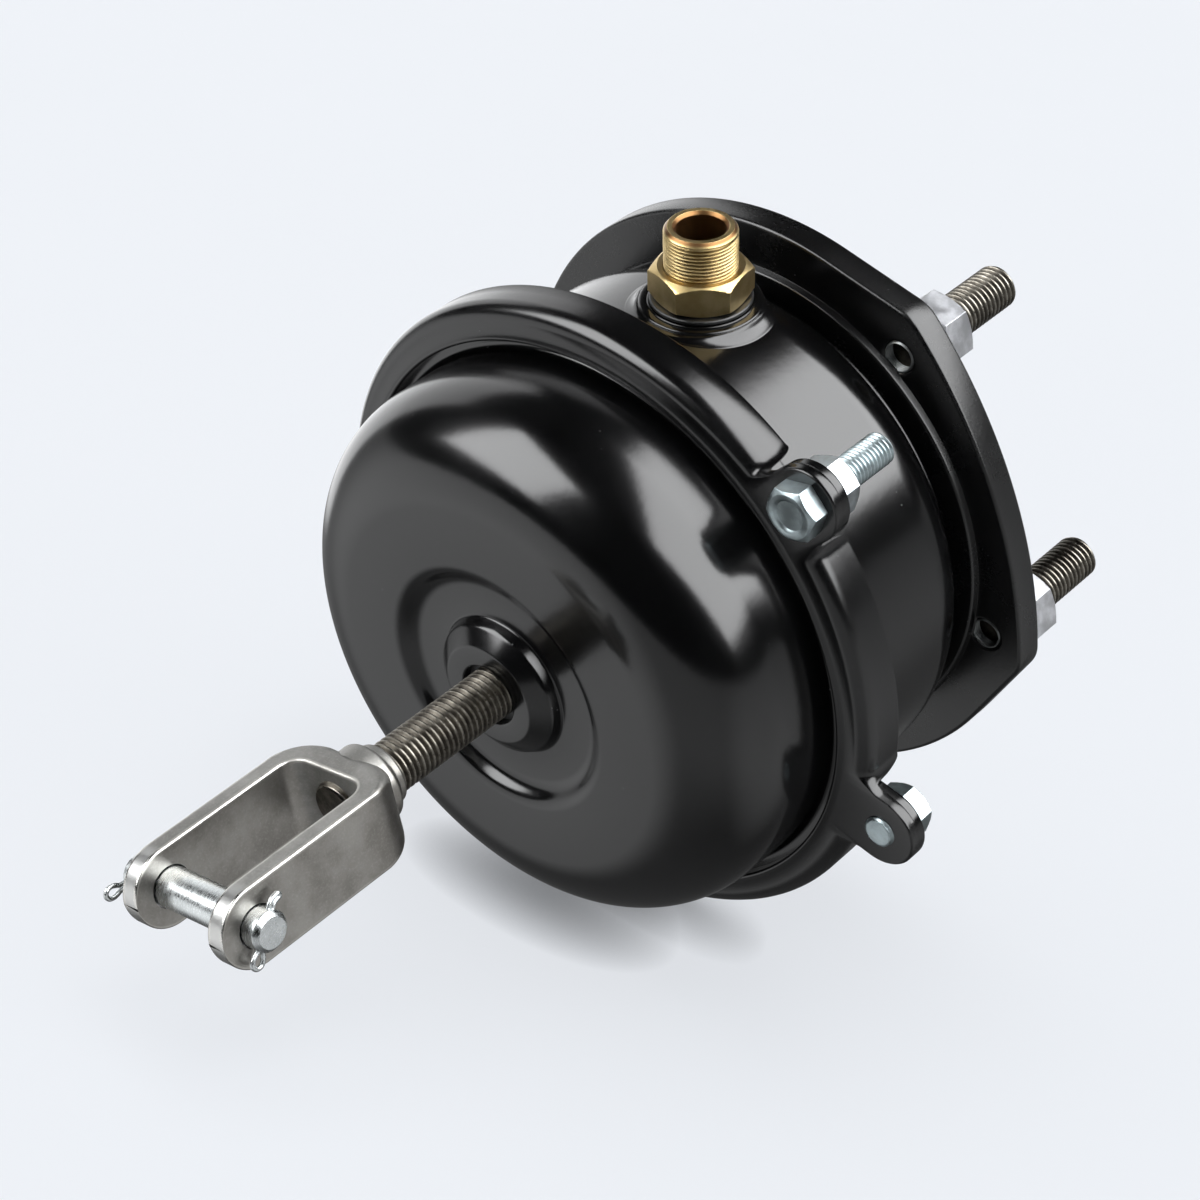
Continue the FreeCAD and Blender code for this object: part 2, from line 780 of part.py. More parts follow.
def main():
    os.makedirs("parts", exist_ok=True)
    near, far = cotters()
    write("mounting_plate", mounting_plate())
    write("mounting_studs", mounting_studs())
    write("stud_nuts", stud_nuts())
    write("rear_housing", rear_housing())
    write("port_boss", port_boss())
    write("port_seal", port_seal())
    write("port_fitting", port_fitting())
    write("diaphragm", diaphragm())
    write("push_plate", push_plate())
    write("push_plate_nut", push_plate_nut())
    write("push_rod", push_rod())
    write("return_spring", return_spring())
    write("rod_guide", rod_guide())
    write("front_housing", front_housing())
    write("clamp_ring", clamp_ring())
    write("clamp_bolts", clamp_bolts())
    write("clamp_nuts", clamp_nuts())
    write("clamp_bolt_washer", clamp_bolt_washer())
    write("clevis", clevis())
    write("clevis_pin", clevis_pin())
    write("cotter_pin_near", cotter_pin(*near))
    write("cotter_pin_far", cotter_pin(*far))


main()
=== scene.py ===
import math

import bpy
from mathutils import Matrix, Vector


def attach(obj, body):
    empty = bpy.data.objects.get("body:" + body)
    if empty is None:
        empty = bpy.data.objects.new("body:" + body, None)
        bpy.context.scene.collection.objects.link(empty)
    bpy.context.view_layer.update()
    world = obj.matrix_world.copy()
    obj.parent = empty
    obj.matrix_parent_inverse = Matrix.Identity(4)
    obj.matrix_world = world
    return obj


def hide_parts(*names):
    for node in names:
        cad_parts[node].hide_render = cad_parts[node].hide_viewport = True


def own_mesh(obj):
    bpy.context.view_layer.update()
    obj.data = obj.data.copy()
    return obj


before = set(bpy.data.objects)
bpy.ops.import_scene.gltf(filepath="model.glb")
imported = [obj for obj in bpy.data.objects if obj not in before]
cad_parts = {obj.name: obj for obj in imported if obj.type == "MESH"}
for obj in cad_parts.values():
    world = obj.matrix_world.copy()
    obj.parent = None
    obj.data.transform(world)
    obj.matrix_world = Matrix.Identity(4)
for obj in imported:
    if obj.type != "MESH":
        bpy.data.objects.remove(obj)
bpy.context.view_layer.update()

MM = 0.001
FORWARD = Vector((0, -1, 0))
UP = Vector((0, 0, 1))

# Sizes shared with the CAD source
plate_radius = 97.0
plate_thickness = 10.0
plate_side_reach = 94.0
plate_side_angle = 23.5
plate_corner_radius = 12.0
plate_corner_centre = 89.5
plate_corner_spread = 34.9
pad_radius = 83.0
pad_reach = 12.4
stud_radius = 7.0
stud_circle_radius = 87.5
stud_spread = 32.0
stud_out = 41.0
stud_recess = 3.5
stud_hole_radius = 5.0
stud_nut_flats = 21.0
stud_nut_height = 12.5
rear_radius = 86.5
rear_shoulder = 22.0
clamp_front = 91.4
clamp_sheet = 3.2
clamp_radius = 102.8
clamp_depth = 14.9
clamp_shoulder = 5.0
clamp_inner_radius = 91.9
rim_radius = 98.8
seam_reach = 88.2
pocket_floor = 81.2
pocket_radius = 95.4
flange_radius = 94.9
lug_angles = (45.3, -12.0, 196.5)
reversed_bolts = (False, True, False)
bolt_circle_radius = 110.5
lug_radius = 11.5
lug_root_round = 6.0
lug_edge = 0.9
skirt_gap = 2.6
bolt_radius = 5.0
bolt_length = 35.0
reversed_bolt_length = 9.6
bolt_head_flats = 15.0
bolt_head_height = 6.4
bolt_nut_flats = 16.0
bolt_nut_height = 8.4
washer_thickness = 2.0
washer_radius = 8.6
front_radius = 88.0
front_face = 135.0
front_shoulder = 28.0
dish_radius = 37.3
dish_floor = 131.0
boss_base_radius = 22.8
boss_top_radius = 16.8
boss_top = 138.0
rod_hole_radius = 9.75
port_reach = 40.2
collar_radius = 18.5
collar_weld = 4.0
port_boss_radius = 16.0
port_boss_top = 87.9
port_seal_top = 89.4
port_seal_radius = 15.4
port_hex_top = 99.4
port_top = 112.4
port_hex_flats = 27.0
port_hex_turn = 42.0
port_thread_radius = 11.0
port_bore_radius = 7.4
rod_radius = 8.0
rod_start = 33.3
rod_end = 201.0
clevis_roll = 12.0
clevis_bridge_reach = 188.0
clevis_gap_reach = 199.0
clevis_neck_reach = 181.0
clevis_neck_radius = 9.6
clevis_shoulder_radius = 12.4
clevis_width = 42.0
clevis_gap = 30.0
clevis_depth = 24.6
clevis_corner = 14.0
clevis_gap_corner = 6.0
clevis_edge = 0.8
clevis_back_edge = 5.0
pin_reach = 248.5
pin_radius = 6.0
pin_length = 57.0
pin_shift = -1.5
cotter_inset = 3.2
cotter_tilts = (35.0, 97.0)
cotter_stand_outs = (0.0, 2.6)


def at(radius, reach, angle=0.0):
    turn = math.radians(angle)
    return Vector((radius * math.cos(turn), -reach, radius * math.sin(turn)))


def along(axis, base, turn=0.0):
    """A place for a shape made along +Z: its origin at base, its Z along axis, turned about that."""
    axis = Vector(axis).normalized()
    return Matrix.Translation(base) @ axis.to_track_quat("Z", "Y").to_matrix().to_4x4() @ Matrix.Rotation(
        math.radians(turn), 4, "Z"
    )


CHAMBER = Matrix(((1, 0, 0, 0), (0, 0, -1, 0), (0, 1, 0, 0), (0, 0, 0, 1)))
ROLL = Matrix.Rotation(math.radians(-clevis_roll), 4, "Y")


def polar(radius, angle, centre=(0.0, 0.0)):
    """The point that far from a centre, in a direction given in degrees."""
    turn = math.radians(angle)
    return (centre[0] + radius * math.cos(turn), centre[1] + radius * math.sin(turn))


def arc(centre, size, start, end, steps):
    return [polar(size, start + (end - start) * step / steps, centre) for step in range(steps + 1)]


def circle(centre, radius, steps=64):
    return [polar(radius, 360 * step / steps, centre) for step in range(steps)]


def swung(points, angle):
    """Points of an outline turned about the chamber's axis."""
    turn = Matrix.Rotation(math.radians(angle), 2)
    return [tuple(turn @ Vector(point)) for point in points]


def rounded(corners, steps=8):
    """A line of points through corners, each given as radius, height and the size of its rounding."""
    points = []
    for index, (x, y, size) in enumerate(corners):
        here = Vector((x, y))
        if size <= 0 or index in (0, len(corners) - 1):
            points.append((x, y))
            continue
        before = (Vector(corners[index - 1][:2]) - here).normalized()
        after = (Vector(corners[index + 1][:2]) - here).normalized()
        half = before.angle(after) / 2
        inset = size / math.tan(half)
        centre = here + (before + after).normalized() * (size / math.sin(half))
        first = here + before * inset - centre
        sweep = -first.angle_signed(here + after * inset - centre)
        count = max(3, int(steps * abs(sweep) / (math.pi / 2) * max(1.0, size / 6)))
        for step in range(count + 1):
            turn = sweep * step / count
            points.append(tuple(centre + Matrix.Rotation(turn, 2) @ first))
    return points


class Shell:
    """Vertices in mm and faces of one piece, gathered from several surfaces."""

    def __init__(self):
        self.points = []
        self.faces = []
        self.rubs = []

    def grid(self, rows, place=Matrix(), closed=True, capped=(False, False), rubs=None):
        """Joins rows of points, all of one length. A closed row's last point meets its first."""
        base = len(self.points)
        width = len(rows[0])
        for row in rows:
            self.points.extend(place @ Vector(point) for point in row)
        self.rubs.extend(rubs or [0.0] * (width * len(rows)))
        for row in range(len(rows) - 1):
            for column in range(width if closed else width - 1):
                right = (column + 1) % width
                a = base + row * width + column
                b = base + row * width + right
                self.faces.append((a, b, b + width, a + width))
        if capped[0]:
            self.faces.append(tuple(base + column for column in reversed(range(width))))
        if capped[1]:
            last = base + (len(rows) - 1) * width
            self.faces.append(tuple(last + column for column in range(width)))
        return self

    def spin(self, profile, place=Matrix(), segments=96, flats=None, capped=(False, False)):
        """Turns a profile of radius and height about +Z. With flats, a hexagon that wide clips it."""
        rows = []
        for radius, height in profile:
            row = []
            for column in range(segments):
                angle = 2 * math.pi * column / segments
                size = radius
                if flats:
                    from_flat = (angle % (math.pi / 3)) - math.pi / 6
                    size = min(radius, flats / 2 / math.cos(from_flat))
                row.append((size * math.cos(angle), size * math.sin(angle), height))
            rows.append(row)
        return self.grid(rows, place, capped=capped)

    def thread(self, outer, depth, pitch, length, place=Matrix(), segments=48, rounding=1.0, kind="bar"):
        """A screw thread along +Z, as one long strip that winds round and is trimmed at both ends."""
        shape = [(0.0, 0.0), (0.10, 0.0), (0.42, 0.92), (0.50, 1.0), (0.58, 0.92), (0.90, 0.0), (1.0, 0.0)]
        strip = []
        rubs = []
        for step in range((int(length / pitch) + 2) * segments + 1):
            line = []
            for part, drop in shape:
                height = min(max(pitch * (step / segments + part) - 1.5 * pitch, 0.0), length)
                size = outer - depth * drop
                end = min(height, length - height)
                if kind == "hole":
                    size = outer - depth + depth * drop
                elif kind == "bar" and end < rounding:
                    size = min(size, outer - rounding + math.sqrt(rounding**2 - (rounding - end) ** 2))
                line.append((*polar(size, 360 * step / segments), height))
                rubs.append(1.0 - drop)
            strip.append(line)
        self.grid(strip, place, closed=False, rubs=rubs)
        if kind == "bar":
            for height in (0.0, length):
                self.spin([(outer - rounding, height), (0.02, height)], place, segments)
        return self

    def piece(self, name, body, replaced, material, sharp=32.0):
        return place_piece(name, self.mesh(name), body, replaced, material, sharp)

    def mesh(self, name):
        """The gathered surfaces as a mesh, which keeps how far each point is rubbed bright."""
        mesh = bpy.data.meshes.new(name)
        mesh.from_pydata([point * MM for point in self.points], [], self.faces)
        if any(self.rubs):
            mesh.attributes.new("rubbed", "FLOAT", "POINT").data.foreach_set("value", self.rubs)
        mesh.validate()
        return mesh


def place_piece(name, mesh, body, replaced, material, sharp=32.0):
    """Puts a finished mesh in the scene, on its body, in place of the CAD nodes it stands for."""
    mesh.polygons.foreach_set("use_smooth", [True] * len(mesh.polygons))
    mesh.set_sharp_from_angle(angle=math.radians(sharp))
    mesh.update()
    piece = bpy.data.objects.new(name, mesh)
    bpy.context.scene.collection.objects.link(piece)
    piece.data.materials.append(material)
    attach(piece, body)
    for node in replaced:
        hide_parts(node)
    return piece


class Value:
    """A shader socket on which sums, products and comparisons are written as Math nodes."""

    def __init__(self, wiring, socket):
        self.wiring = wiring
        self.socket = socket

    def math(self, operation, first, second):
        return self.wiring.node("ShaderNodeMath", {"operation": operation}, {0: first, 1: second})

    def __add__(self, other):
        return self.math("ADD", self, other)

    def __radd__(self, other):
        return self.math("ADD", other, self)

    def __sub__(self, other):
        return self.math("SUBTRACT", self, other)

    def __rsub__(self, other):
        return self.math("SUBTRACT", other, self)

    def __mul__(self, other):
        return self.math("MULTIPLY", self, other)

    def __rmul__(self, other):
        return self.math("MULTIPLY", other, self)

    def __truediv__(self, other):
        return self.math("DIVIDE", self, other)

    def __rtruediv__(self, other):
        return self.math("DIVIDE", other, self)

    def __gt__(self, other):
        return self.math("GREATER_THAN", self, other)

    def __abs__(self):
        return self.math("ABSOLUTE", self, 0.0)


class Wiring:
    """A shader tree and the nodes that work out what varies in it."""

    def __init__(self, tree, coordinate):
        self.tree = tree
        self.place = self.node("ShaderNodeTexCoord", output=coordinate)

    def node(self, kind, settings=None, values=None, output=0):
        """One shader node with its settings and socket values; gives one of its outputs."""
        node = self.tree.nodes.new(kind)
        for key, value in (settings or {}).items():
            setattr(node, key, value)
        for key, value in (values or {}).items():
            socket = node.inputs[key]
            if isinstance(value, Value):
                self.tree.links.new(value.socket, socket)
            elif isinstance(value, tuple) and len(socket.default_value) == 4:
                socket.default_value = (value + (1.0,))[:4]
            else:
                socket.default_value = value
        return None if output is None else Value(self, node.outputs[output])

    def noise(self, scale, detail=4.0, roughness=0.55, stretch=None, shift=0.0):
        where = self.place
        if stretch or shift:
            where = self.node(
                "ShaderNodeMapping",
                values={"Vector": where, "Scale": stretch or (1, 1, 1), "Location": (shift, shift, shift)},
            )
        return self.node(
            "ShaderNodeTexNoise",
            values={"Vector": where, "Scale": scale, "Detail": detail, "Roughness": roughness},
        )

    def spots(self, scale, size):
        """Small round specks: 1 inside a speck, 0 outside."""
        distance = self.node("ShaderNodeTexVoronoi", values={"Vector": self.place, "Scale": scale})
        return self.span(distance, size, size * 0.6)

    def span(self, value, low, high, out_low=0.0, out_high=1.0):
        return self.node(
            "ShaderNodeMapRange",
            {"interpolation_type": "SMOOTHSTEP"},
            {"Value": value, "From Min": low, "From Max": high, "To Min": out_low, "To Max": out_high},
        )

    def along(self, axis, vector=None):
        """How far a vector, or else the place, lies along an axis."""
        values = {0: vector or self.place, 1: tuple(axis)}
        return self.node("ShaderNodeVectorMath", {"operation": "DOT_PRODUCT"}, values, output=1)

    def mix(self, share, first, second):
        node = self.tree.nodes.new("ShaderNodeMix")
        node.data_type = "RGBA"
        for index, value in ((0, share), (6, first), (7, second)):
            socket = node.inputs[index]
            if isinstance(value, Value):
                self.tree.links.new(value.socket, socket)
            elif isinstance(value, tuple):
                socket.default_value = value + (1.0,)
            else:
                socket.default_value = value
        return Value(self, node.outputs[2])


class Finish(Wiring):
    """A material: its Principled shader and the nodes that vary it."""

    def __init__(self, name, **constants):
        self.material = bpy.data.materials.new(name)
        self.material.use_nodes = True
        super().__init__(self.material.node_tree, "Object")
        self.shader = self.tree.nodes["Principled BSDF"]
        for key, value in constants.items():
            self.shader.inputs[key.replace("_", " ")].default_value = value

    def facing(self, axis):
        """How far the surface faces along an axis, from -1 to 1."""
        return self.along(axis, self.node("ShaderNodeTexCoord", output="Normal"))

    def rubbed(self):
        """How far the surface is rubbed bright, as its mesh says."""
        return self.node("ShaderNodeAttribute", {"attribute_name": "rubbed"}, output="Fac")

    def colour(self, value):
        self.tree.links.new(value.socket, self.shader.inputs["Base Color"])

    def rough(self, value):
        self.tree.links.new(value.socket, self.shader.inputs["Roughness"])

    def relief(self, height, depth, strength=1.0, soft_edge=None):
        """Bumps of a depth in mm, over an optional rounding of sharp edges, also in mm."""
        values = {"Height": height, "Distance": depth * MM, "Strength": strength}
        if soft_edge:
            values["Normal"] = self.edge(soft_edge)
        bumped = self.node("ShaderNodeBump", values=values)
        self.tree.links.new(bumped.socket, self.shader.inputs["Normal"])

    def edge(self, size):
        return self.node("ShaderNodeBevel", {"samples": 4}, {"Radius": size * MM})


def black_paint(name, gloss, grain, shift, edge=0.35):
    """Sprayed black paint: faint orange peel, sparse dust specks and duller patches."""
    finish = Finish(name, Metallic=0.0, IOR=1.5)
    patches = finish.noise(22, 5, 0.6, shift=shift)
    fine = finish.noise(900, 3, 0.5, shift=shift)
    dust = finish.spots(210, 0.06) * finish.span(finish.noise(60, 3, shift=shift + 3), 0.55, 0.62)
    haze = finish.mix(finish.span(patches, 0.35, 0.7), (0.0018, 0.0018, 0.0019), (0.0034, 0.0034, 0.0036))
    finish.colour(finish.mix(dust * 0.6, haze, (0.12, 0.12, 0.12)))
    finish.rough(finish.span(patches, 0.3, 0.75, gloss - 0.03, gloss + 0.03) + fine * 0.04 + dust * 0.2)
    peel = finish.noise(420, 2, 0.45, shift=shift)
    finish.relief(peel * 0.5 + fine * grain, 0.05, 0.5, edge)
    return finish.material


def zinc(name, shift, tint=(0.62, 0.67, 0.70)):
    """Blue-white zinc plate: bright, with soft clouds and a few dark pits."""
    finish = Finish(name, Metallic=1.0)
    clouds = finish.noise(140, 5, 0.6, shift=shift)
    marks = finish.noise(900, 4, 0.7, shift=shift)
    darker = tuple(part * 0.62 for part in tint)
    finish.colour(finish.mix(finish.span(clouds, 0.35, 0.68), darker, tint))
    finish.rough(finish.span(clouds, 0.3, 0.7, 0.26, 0.38) + marks * 0.08)
    finish.relief(marks, 0.03, 0.6, 0.25)
    return finish.material


def dark_thread(name, shift):
    """Phosphated threaded steel: near black in the roots, with brown flanks and rubbed bright crests."""
    finish = Finish(name, Metallic=1.0)
    clouds = finish.noise(260, 5, 0.65, shift=shift)
    grit = finish.noise(1500, 3, 0.6, shift=shift)
    crest = finish.span(finish.rubbed(), 0.55, 1.0)
    skin = finish.mix(finish.span(clouds, 0.35, 0.7), (0.035, 0.031, 0.026), (0.10, 0.090, 0.075))
    worn = finish.mix(finish.span(clouds, 0.35, 0.7), (0.16, 0.148, 0.125), (0.33, 0.31, 0.27))
    finish.colour(finish.mix(crest * 0.85, skin, worn))
    finish.rough(finish.span(grit, 0.3, 0.7, 0.34, 0.5) - crest * 0.1)
    finish.relief(grit, 0.05, 0.5)
    return finish.material


def machined_brass(name):
    """Turned brass with fine turning lines and faint tarnish, and painted shade: dark brown down the bore and
    in the thread roots.
    """
    finish = Finish(name, Metallic=1.0)
    tarnish = finish.noise(120, 5, 0.6)
    turning = finish.noise(300, 3, 0.6, stretch=(0.2, 0.2, 12))
    across = finish.along((1, 0, 0))
    back = finish.along((0, 1, 0)) + port_reach * MM
    # Painted shade: dark brown inside the bore and the thread roots, but not on faces turned up.
    bore_painted_shade = finish.span(across * across + back * back, 11.8e-5, 10.6e-5)
    bore_painted_shade = bore_painted_shade * finish.span(finish.facing((0, 0, 1)), 0.9, 0.7)
    metal = finish.mix(finish.span(tarnish, 0.35, 0.75), (0.45, 0.335, 0.15), (0.61, 0.475, 0.245))
    finish.colour(finish.mix(bore_painted_shade, metal, (0.16, 0.085, 0.035)))
    finish.rough(finish.span(turning, 0.3, 0.7, 0.27, 0.38) + tarnish * 0.06)
    finish.relief(turning, 0.03, 0.5, 0.2)
    return finish.material


def forged_steel(name):
    """Blasted grey forging: smoother stained sides, polished round ends and edges rubbed bright."""
    finish = Finish(name, Metallic=1.0)
    turn = math.radians(clevis_roll)
    sides = finish.span(abs(finish.facing((math.cos(turn), 0, math.sin(turn)))), 0.6, 0.8)
    ends = finish.span(finish.along((0, -1, 0)), 0.2465, 0.2525) * (1 - sides)
    stains = finish.noise(48, 6, 0.62)
    grain = finish.noise(1300, 3, 0.65)
    pits = finish.noise(420, 4, 0.7, shift=5)
    grey = finish.mix(finish.span(stains, 0.32, 0.7), (0.19, 0.186, 0.176), (0.33, 0.325, 0.31))
    brown = finish.mix(finish.span(stains, 0.32, 0.7), (0.19, 0.18, 0.165), (0.32, 0.31, 0.29))
    skin = finish.mix(finish.span(grain, 0.45, 0.8) * 0.3, finish.mix(sides, grey, brown), (0.46, 0.45, 0.43))
    bright = finish.mix(ends, skin, (0.48, 0.48, 0.47))
    edges = finish.rubbed() * finish.span(finish.noise(90, 4, 0.6, shift=9), 0.3, 0.5, 0.1, 0.5)
    finish.colour(finish.mix(edges, bright, (0.60, 0.58, 0.54)))
    finish.rough(0.5 + pits * 0.08 - sides * 0.18 - ends * 0.24 - edges * 0.14)
    finish.relief(pits * 0.6 + grain * 0.5, 0.07, 0.7)
    return finish.material


def turned_steel(name, shift):
    """Zinc-plated turned steel of the clevis pin and the cotter pins."""
    finish = Finish(name, Metallic=1.0)
    clouds = finish.noise(180, 5, 0.6, shift=shift)
    lines = finish.noise(500, 2, 0.5, stretch=(4, 0.6, 0.6), shift=shift)
    finish.colour(finish.mix(finish.span(clouds, 0.35, 0.7), (0.50, 0.525, 0.53), (0.62, 0.645, 0.65)))
    finish.rough(finish.span(lines, 0.3, 0.7, 0.2, 0.27) + clouds * 0.06)
    finish.relief(lines, 0.01, 0.4, 0.3)
    return finish.material


def plain_steel(name, tint, rough, shift=0.0):
    finish = Finish(name, Metallic=1.0)
    clouds = finish.noise(90, 5, 0.6, shift=shift)
    finish.colour(finish.mix(finish.span(clouds, 0.3, 0.7), tuple(part * 0.7 for part in tint), tint))
    finish.rough(finish.span(clouds, 0.3, 0.7, rough - 0.06, rough + 0.1))
    finish.relief(finish.noise(900, 3, 0.6, shift=shift), 0.03, 0.5, 0.2)
    return finish.material


def dull_black(name, tint, rough, weave=0.0):
    """Rubber or nylon, with a fine grain."""
    finish = Finish(name, Metallic=0.0)
    clouds = finish.noise(120, 5, 0.6)
    grain = finish.noise(1100, 3, 0.6)
    finish.colour(finish.mix(finish.span(clouds, 0.3, 0.7), tuple(part * 0.6 for part in tint), tint))
    finish.rough(finish.span(clouds, 0.3, 0.7, rough - 0.08, rough + 0.08))
    finish.relief(grain + finish.noise(500, 2, 0.5) * weave, 0.06, 0.5)
    return finish.material


DOME_PAINT = black_paint("dome_paint", 0.15, 0.10, 1.0)
HOUSING_PAINT = black_paint("housing_paint", 0.16, 0.10, 2.0)
RING_PAINT = black_paint("ring_paint", 0.20, 0.18, 3.0)
PLATE_PAINT = black_paint("plate_paint", 0.26, 0.75, 4.0)
BOSS_PAINT = black_paint("boss_paint", 0.14, 0.10, 5.0)
BOLT_ZINC = zinc("bolt_zinc", 1.0, (0.42, 0.49, 0.51))
NUT_ZINC = zinc("nut_zinc", 2.0, (0.46, 0.50, 0.52))
STUD_NUT_ZINC = zinc("stud_nut_zinc", 3.0, (0.68, 0.69, 0.72))
STUD_STEEL = dark_thread("stud_steel", 1.0)
ROD_STEEL = dark_thread("rod_steel", 2.0)
BRASS = machined_brass("brass")
FORGED = forged_steel("clevis_steel")
PIN_STEEL = turned_steel("pin_steel", 1.0)
COTTER_STEEL = turned_steel("cotter_steel", 2.0)
WASHER_STEEL = plain_steel("washer_steel", (0.20, 0.21, 0.21), 0.42, 2.0)
INNER_STEEL = plain_steel("inner_steel", (0.46, 0.46, 0.45), 0.38, 1.0)
SPRING_STEEL = plain_steel("spring_steel", (0.25, 0.25, 0.26), 0.34, 3.0)
SEAL_RUBBER = dull_black("seal_rubber", (0.012, 0.012, 0.012), 0.4)
DIAPHRAGM_RUBBER = dull_black("diaphragm_rubber", (0.03, 0.03, 0.03), 0.6, 1.0)
GUIDE_NYLON = dull_black("guide_nylon", (0.02, 0.02, 0.02), 0.5)


def stud_angles():
    return [plate_side_angle + side * stud_spread for side in (1, -1)]


def plate_edge(steps=72):
    """The plate's outline as points of x and z, with its bowed side between two rounded corners."""
    spread = math.radians(plate_corner_spread)
    out = plate_corner_centre * math.cos(spread)
    across = plate_corner_centre * math.sin(spread)
    short = plate_side_reach - plate_corner_radius
    bow_centre = (out**2 + across**2 - short**2) / (2 * (out - short))
    bow_angle = math.atan2(across, out - bow_centre)
    leave = spread + math.acos((plate_radius - plate_corner_radius) / plate_corner_centre)
    bow_radius = plate_side_reach - bow_centre
    points = arc((bow_centre, 0), bow_radius, -math.degrees(bow_angle), math.degrees(bow_angle), 40)
    points += arc((out, across), plate_corner_radius, math.degrees(bow_angle), math.degrees(leave), 16)
    points += arc((0, 0), plate_radius, math.degrees(leave), 360 - math.degrees(leave), steps * 2)
    points += arc((out, -across), plate_corner_radius, -math.degrees(leave), -math.degrees(bow_angle), 16)
    return swung(points, plate_side_angle)


def mesh_of_curve(name, curve):
    """The surface of a bevelled curve, which is then removed."""
    holder = bpy.data.objects.new(name + "_curve", curve)
    bpy.context.scene.collection.objects.link(holder)
    mesh = bpy.data.meshes.new_from_object(holder.evaluated_get(bpy.context.evaluated_depsgraph_get()))
    bpy.data.objects.remove(holder)
    bpy.data.curves.remove(curve)
    return mesh


def slab(name, outlines, back, front, edge):
    """A flat slab across the chamber's axis, from outlines of x and z, with rounded edges, as a mesh."""
    curve = bpy.data.curves.new(name, "CURVE")
    curve.dimensions = "2D"
    curve.fill_mode = "BOTH"
    curve.extrude = ((front - back) / 2 - edge) * MM
    curve.bevel_depth = edge * MM
    curve.bevel_resolution = 3
    curve.offset = -edge * MM
    for outline in outlines:
        kept = [outline[0]]
        for point in outline[1:]:
            if math.dist(point, kept[-1]) > 0.01:
                kept.append(point)
        if math.dist(kept[0], kept[-1]) < 0.01:
            kept.pop()
        spline = curve.splines.new("POLY")
        spline.points.add(len(kept) - 1)
        for point, (x, z) in zip(spline.points, kept):
            point.co = (x * MM, z * MM, 0, 1)
        spline.use_cyclic_u = True
    mesh = mesh_of_curve(name, curve)
    mesh.transform(Matrix.Translation((0, -(back + front) / 2 * MM, 0)) @ CHAMBER)
    return mesh


def make_plate():
    holes = []
    for angle in stud_angles():
        centre = at(stud_circle_radius, 0, angle)
        holes.append(circle((centre.x, centre.z), stud_hole_radius + 0.05))
    mesh = slab("plate", [plate_edge()] + holes, 0, plate_thickness, 1.1)
    place_piece("mounting_plate_painted", mesh, "housing", ["mounting_plate"], PLATE_PAINT)
    pad = Shell()
    inner = 60.0
    corners = [(inner, plate_thickness + 0.2, 0), (inner, pad_reach, 0), (pad_radius - 0.6, pad_reach, 0.9)]
    corners += [(pad_radius, plate_thickness, 0), (pad_radius + 0.5, plate_thickness - 0.3, 0)]
    pad.spin(rounded(corners), CHAMBER, 192)
    weld = arc((rear_radius - rear_shoulder + 8, pad_reach), 1.6, 0, 180, 8)
    pad.spin(weld, CHAMBER, 192)
    pad.piece("plate_pad", "housing", [], PLATE_PAINT)


def make_studs():
    studs = Shell()
    nuts = Shell()
    holes = Shell()
    for angle in stud_angles():
        base = at(stud_circle_radius, plate_thickness - stud_recess, angle)
        length = stud_out + plate_thickness - stud_recess
        studs.thread(stud_radius, 0.95, 2.0, length, along(-FORWARD, base), rounding=1.8)
        place = along(-FORWARD, at(stud_circle_radius, 0, angle), 14)
        nuts.spin(nut_profile(stud_nut_flats, stud_nut_height, stud_radius), place, 96, stud_nut_flats)
        holes.thread(stud_hole_radius, 0.5, 0.9, stud_recess, along(FORWARD, base), kind="hole")
    studs.piece("mounting_studs_threaded", "housing", ["mounting_studs"], STUD_STEEL)
    nuts.piece("stud_nuts_plated", "housing", ["stud_nuts"], STUD_NUT_ZINC)
    holes.piece("plate_hole_threads", "housing", [], WASHER_STEEL)


def nut_profile(flats, height, bore):
    """A hexagon nut's profile: bore, both chamfered faces, and a cone that rounds the corners off."""
    corner = flats / math.sqrt(3)
    face = 0.475 * flats
    drop = (corner - face) * math.tan(math.radians(30))
    points = [(bore - 0.7, 1.0), (bore + 0.3, 0.0), (face, 0.0)]
    steps = 8
    for step in range(1, steps + 1):
        points.append((face + (corner - face) * step / steps, drop * step / steps))
    for step in range(steps + 1):
        points.append((corner - (corner - face) * step / steps, height - drop + drop * step / steps))
    points += [(bore + 0.3, height), (bore - 0.7, height - 1.0)]
    return points


def head_profile(flats, height):
    """A bolt head with a turned-down top and a shallow dish in it."""
    corner = flats / math.sqrt(3)
    face = 0.455 * flats
    drop = (corner - face) * math.tan(math.radians(34))
    points = [(0.02, 0.0), (flats * 0.5, 0.0), (corner, 0.0)]
    steps = 8
    for step in range(steps + 1):
        points.append((corner - (corner - face) * step / steps, height - drop + drop * step / steps))
    points += [(face * 0.86, height), (face * 0.74, height - 0.35), (face * 0.66, height - 0.75)]
    points += [(face * 0.3, height - 0.85), (0.02, height - 0.85)]
    return points


def make_rear_housing():
    shell = Shell()
    corners = [
        (40, pad_reach, 0),
        (rear_radius, pad_reach, rear_shoulder),
        (rear_radius, pocket_floor - 3, 7),
        (rim_radius, pocket_floor - 3, 1.0),
        (rim_radius, seam_reach, 0.4),
        (pocket_radius, seam_reach, 0),
        (pocket_radius, pocket_floor, 0),
    ]
    shell.spin(rounded(corners, 12), CHAMBER, 256)
    shell.piece("rear_housing_painted", "housing", ["rear_housing"], HOUSING_PAINT, 40)
    lugs = Shell()
    rear_face = seam_reach - clamp_sheet
    edge = [(0.0, seam_reach - 0.02)]
    edge += [(lug_edge - x, rear_face + lug_edge + y) for x, y in arc((0, 0), lug_edge, 0, -90, 6)]
    for angle in lug_angles:
        rows = [[(x, -reach, z) for x, z in lug_outline(angle, inset)] for inset, reach in edge]
        lugs.grid(rows, capped=(True, True))
    lugs.piece("rear_housing_lugs", "housing", [], HOUSING_PAINT, 40)
    make_port_collar()


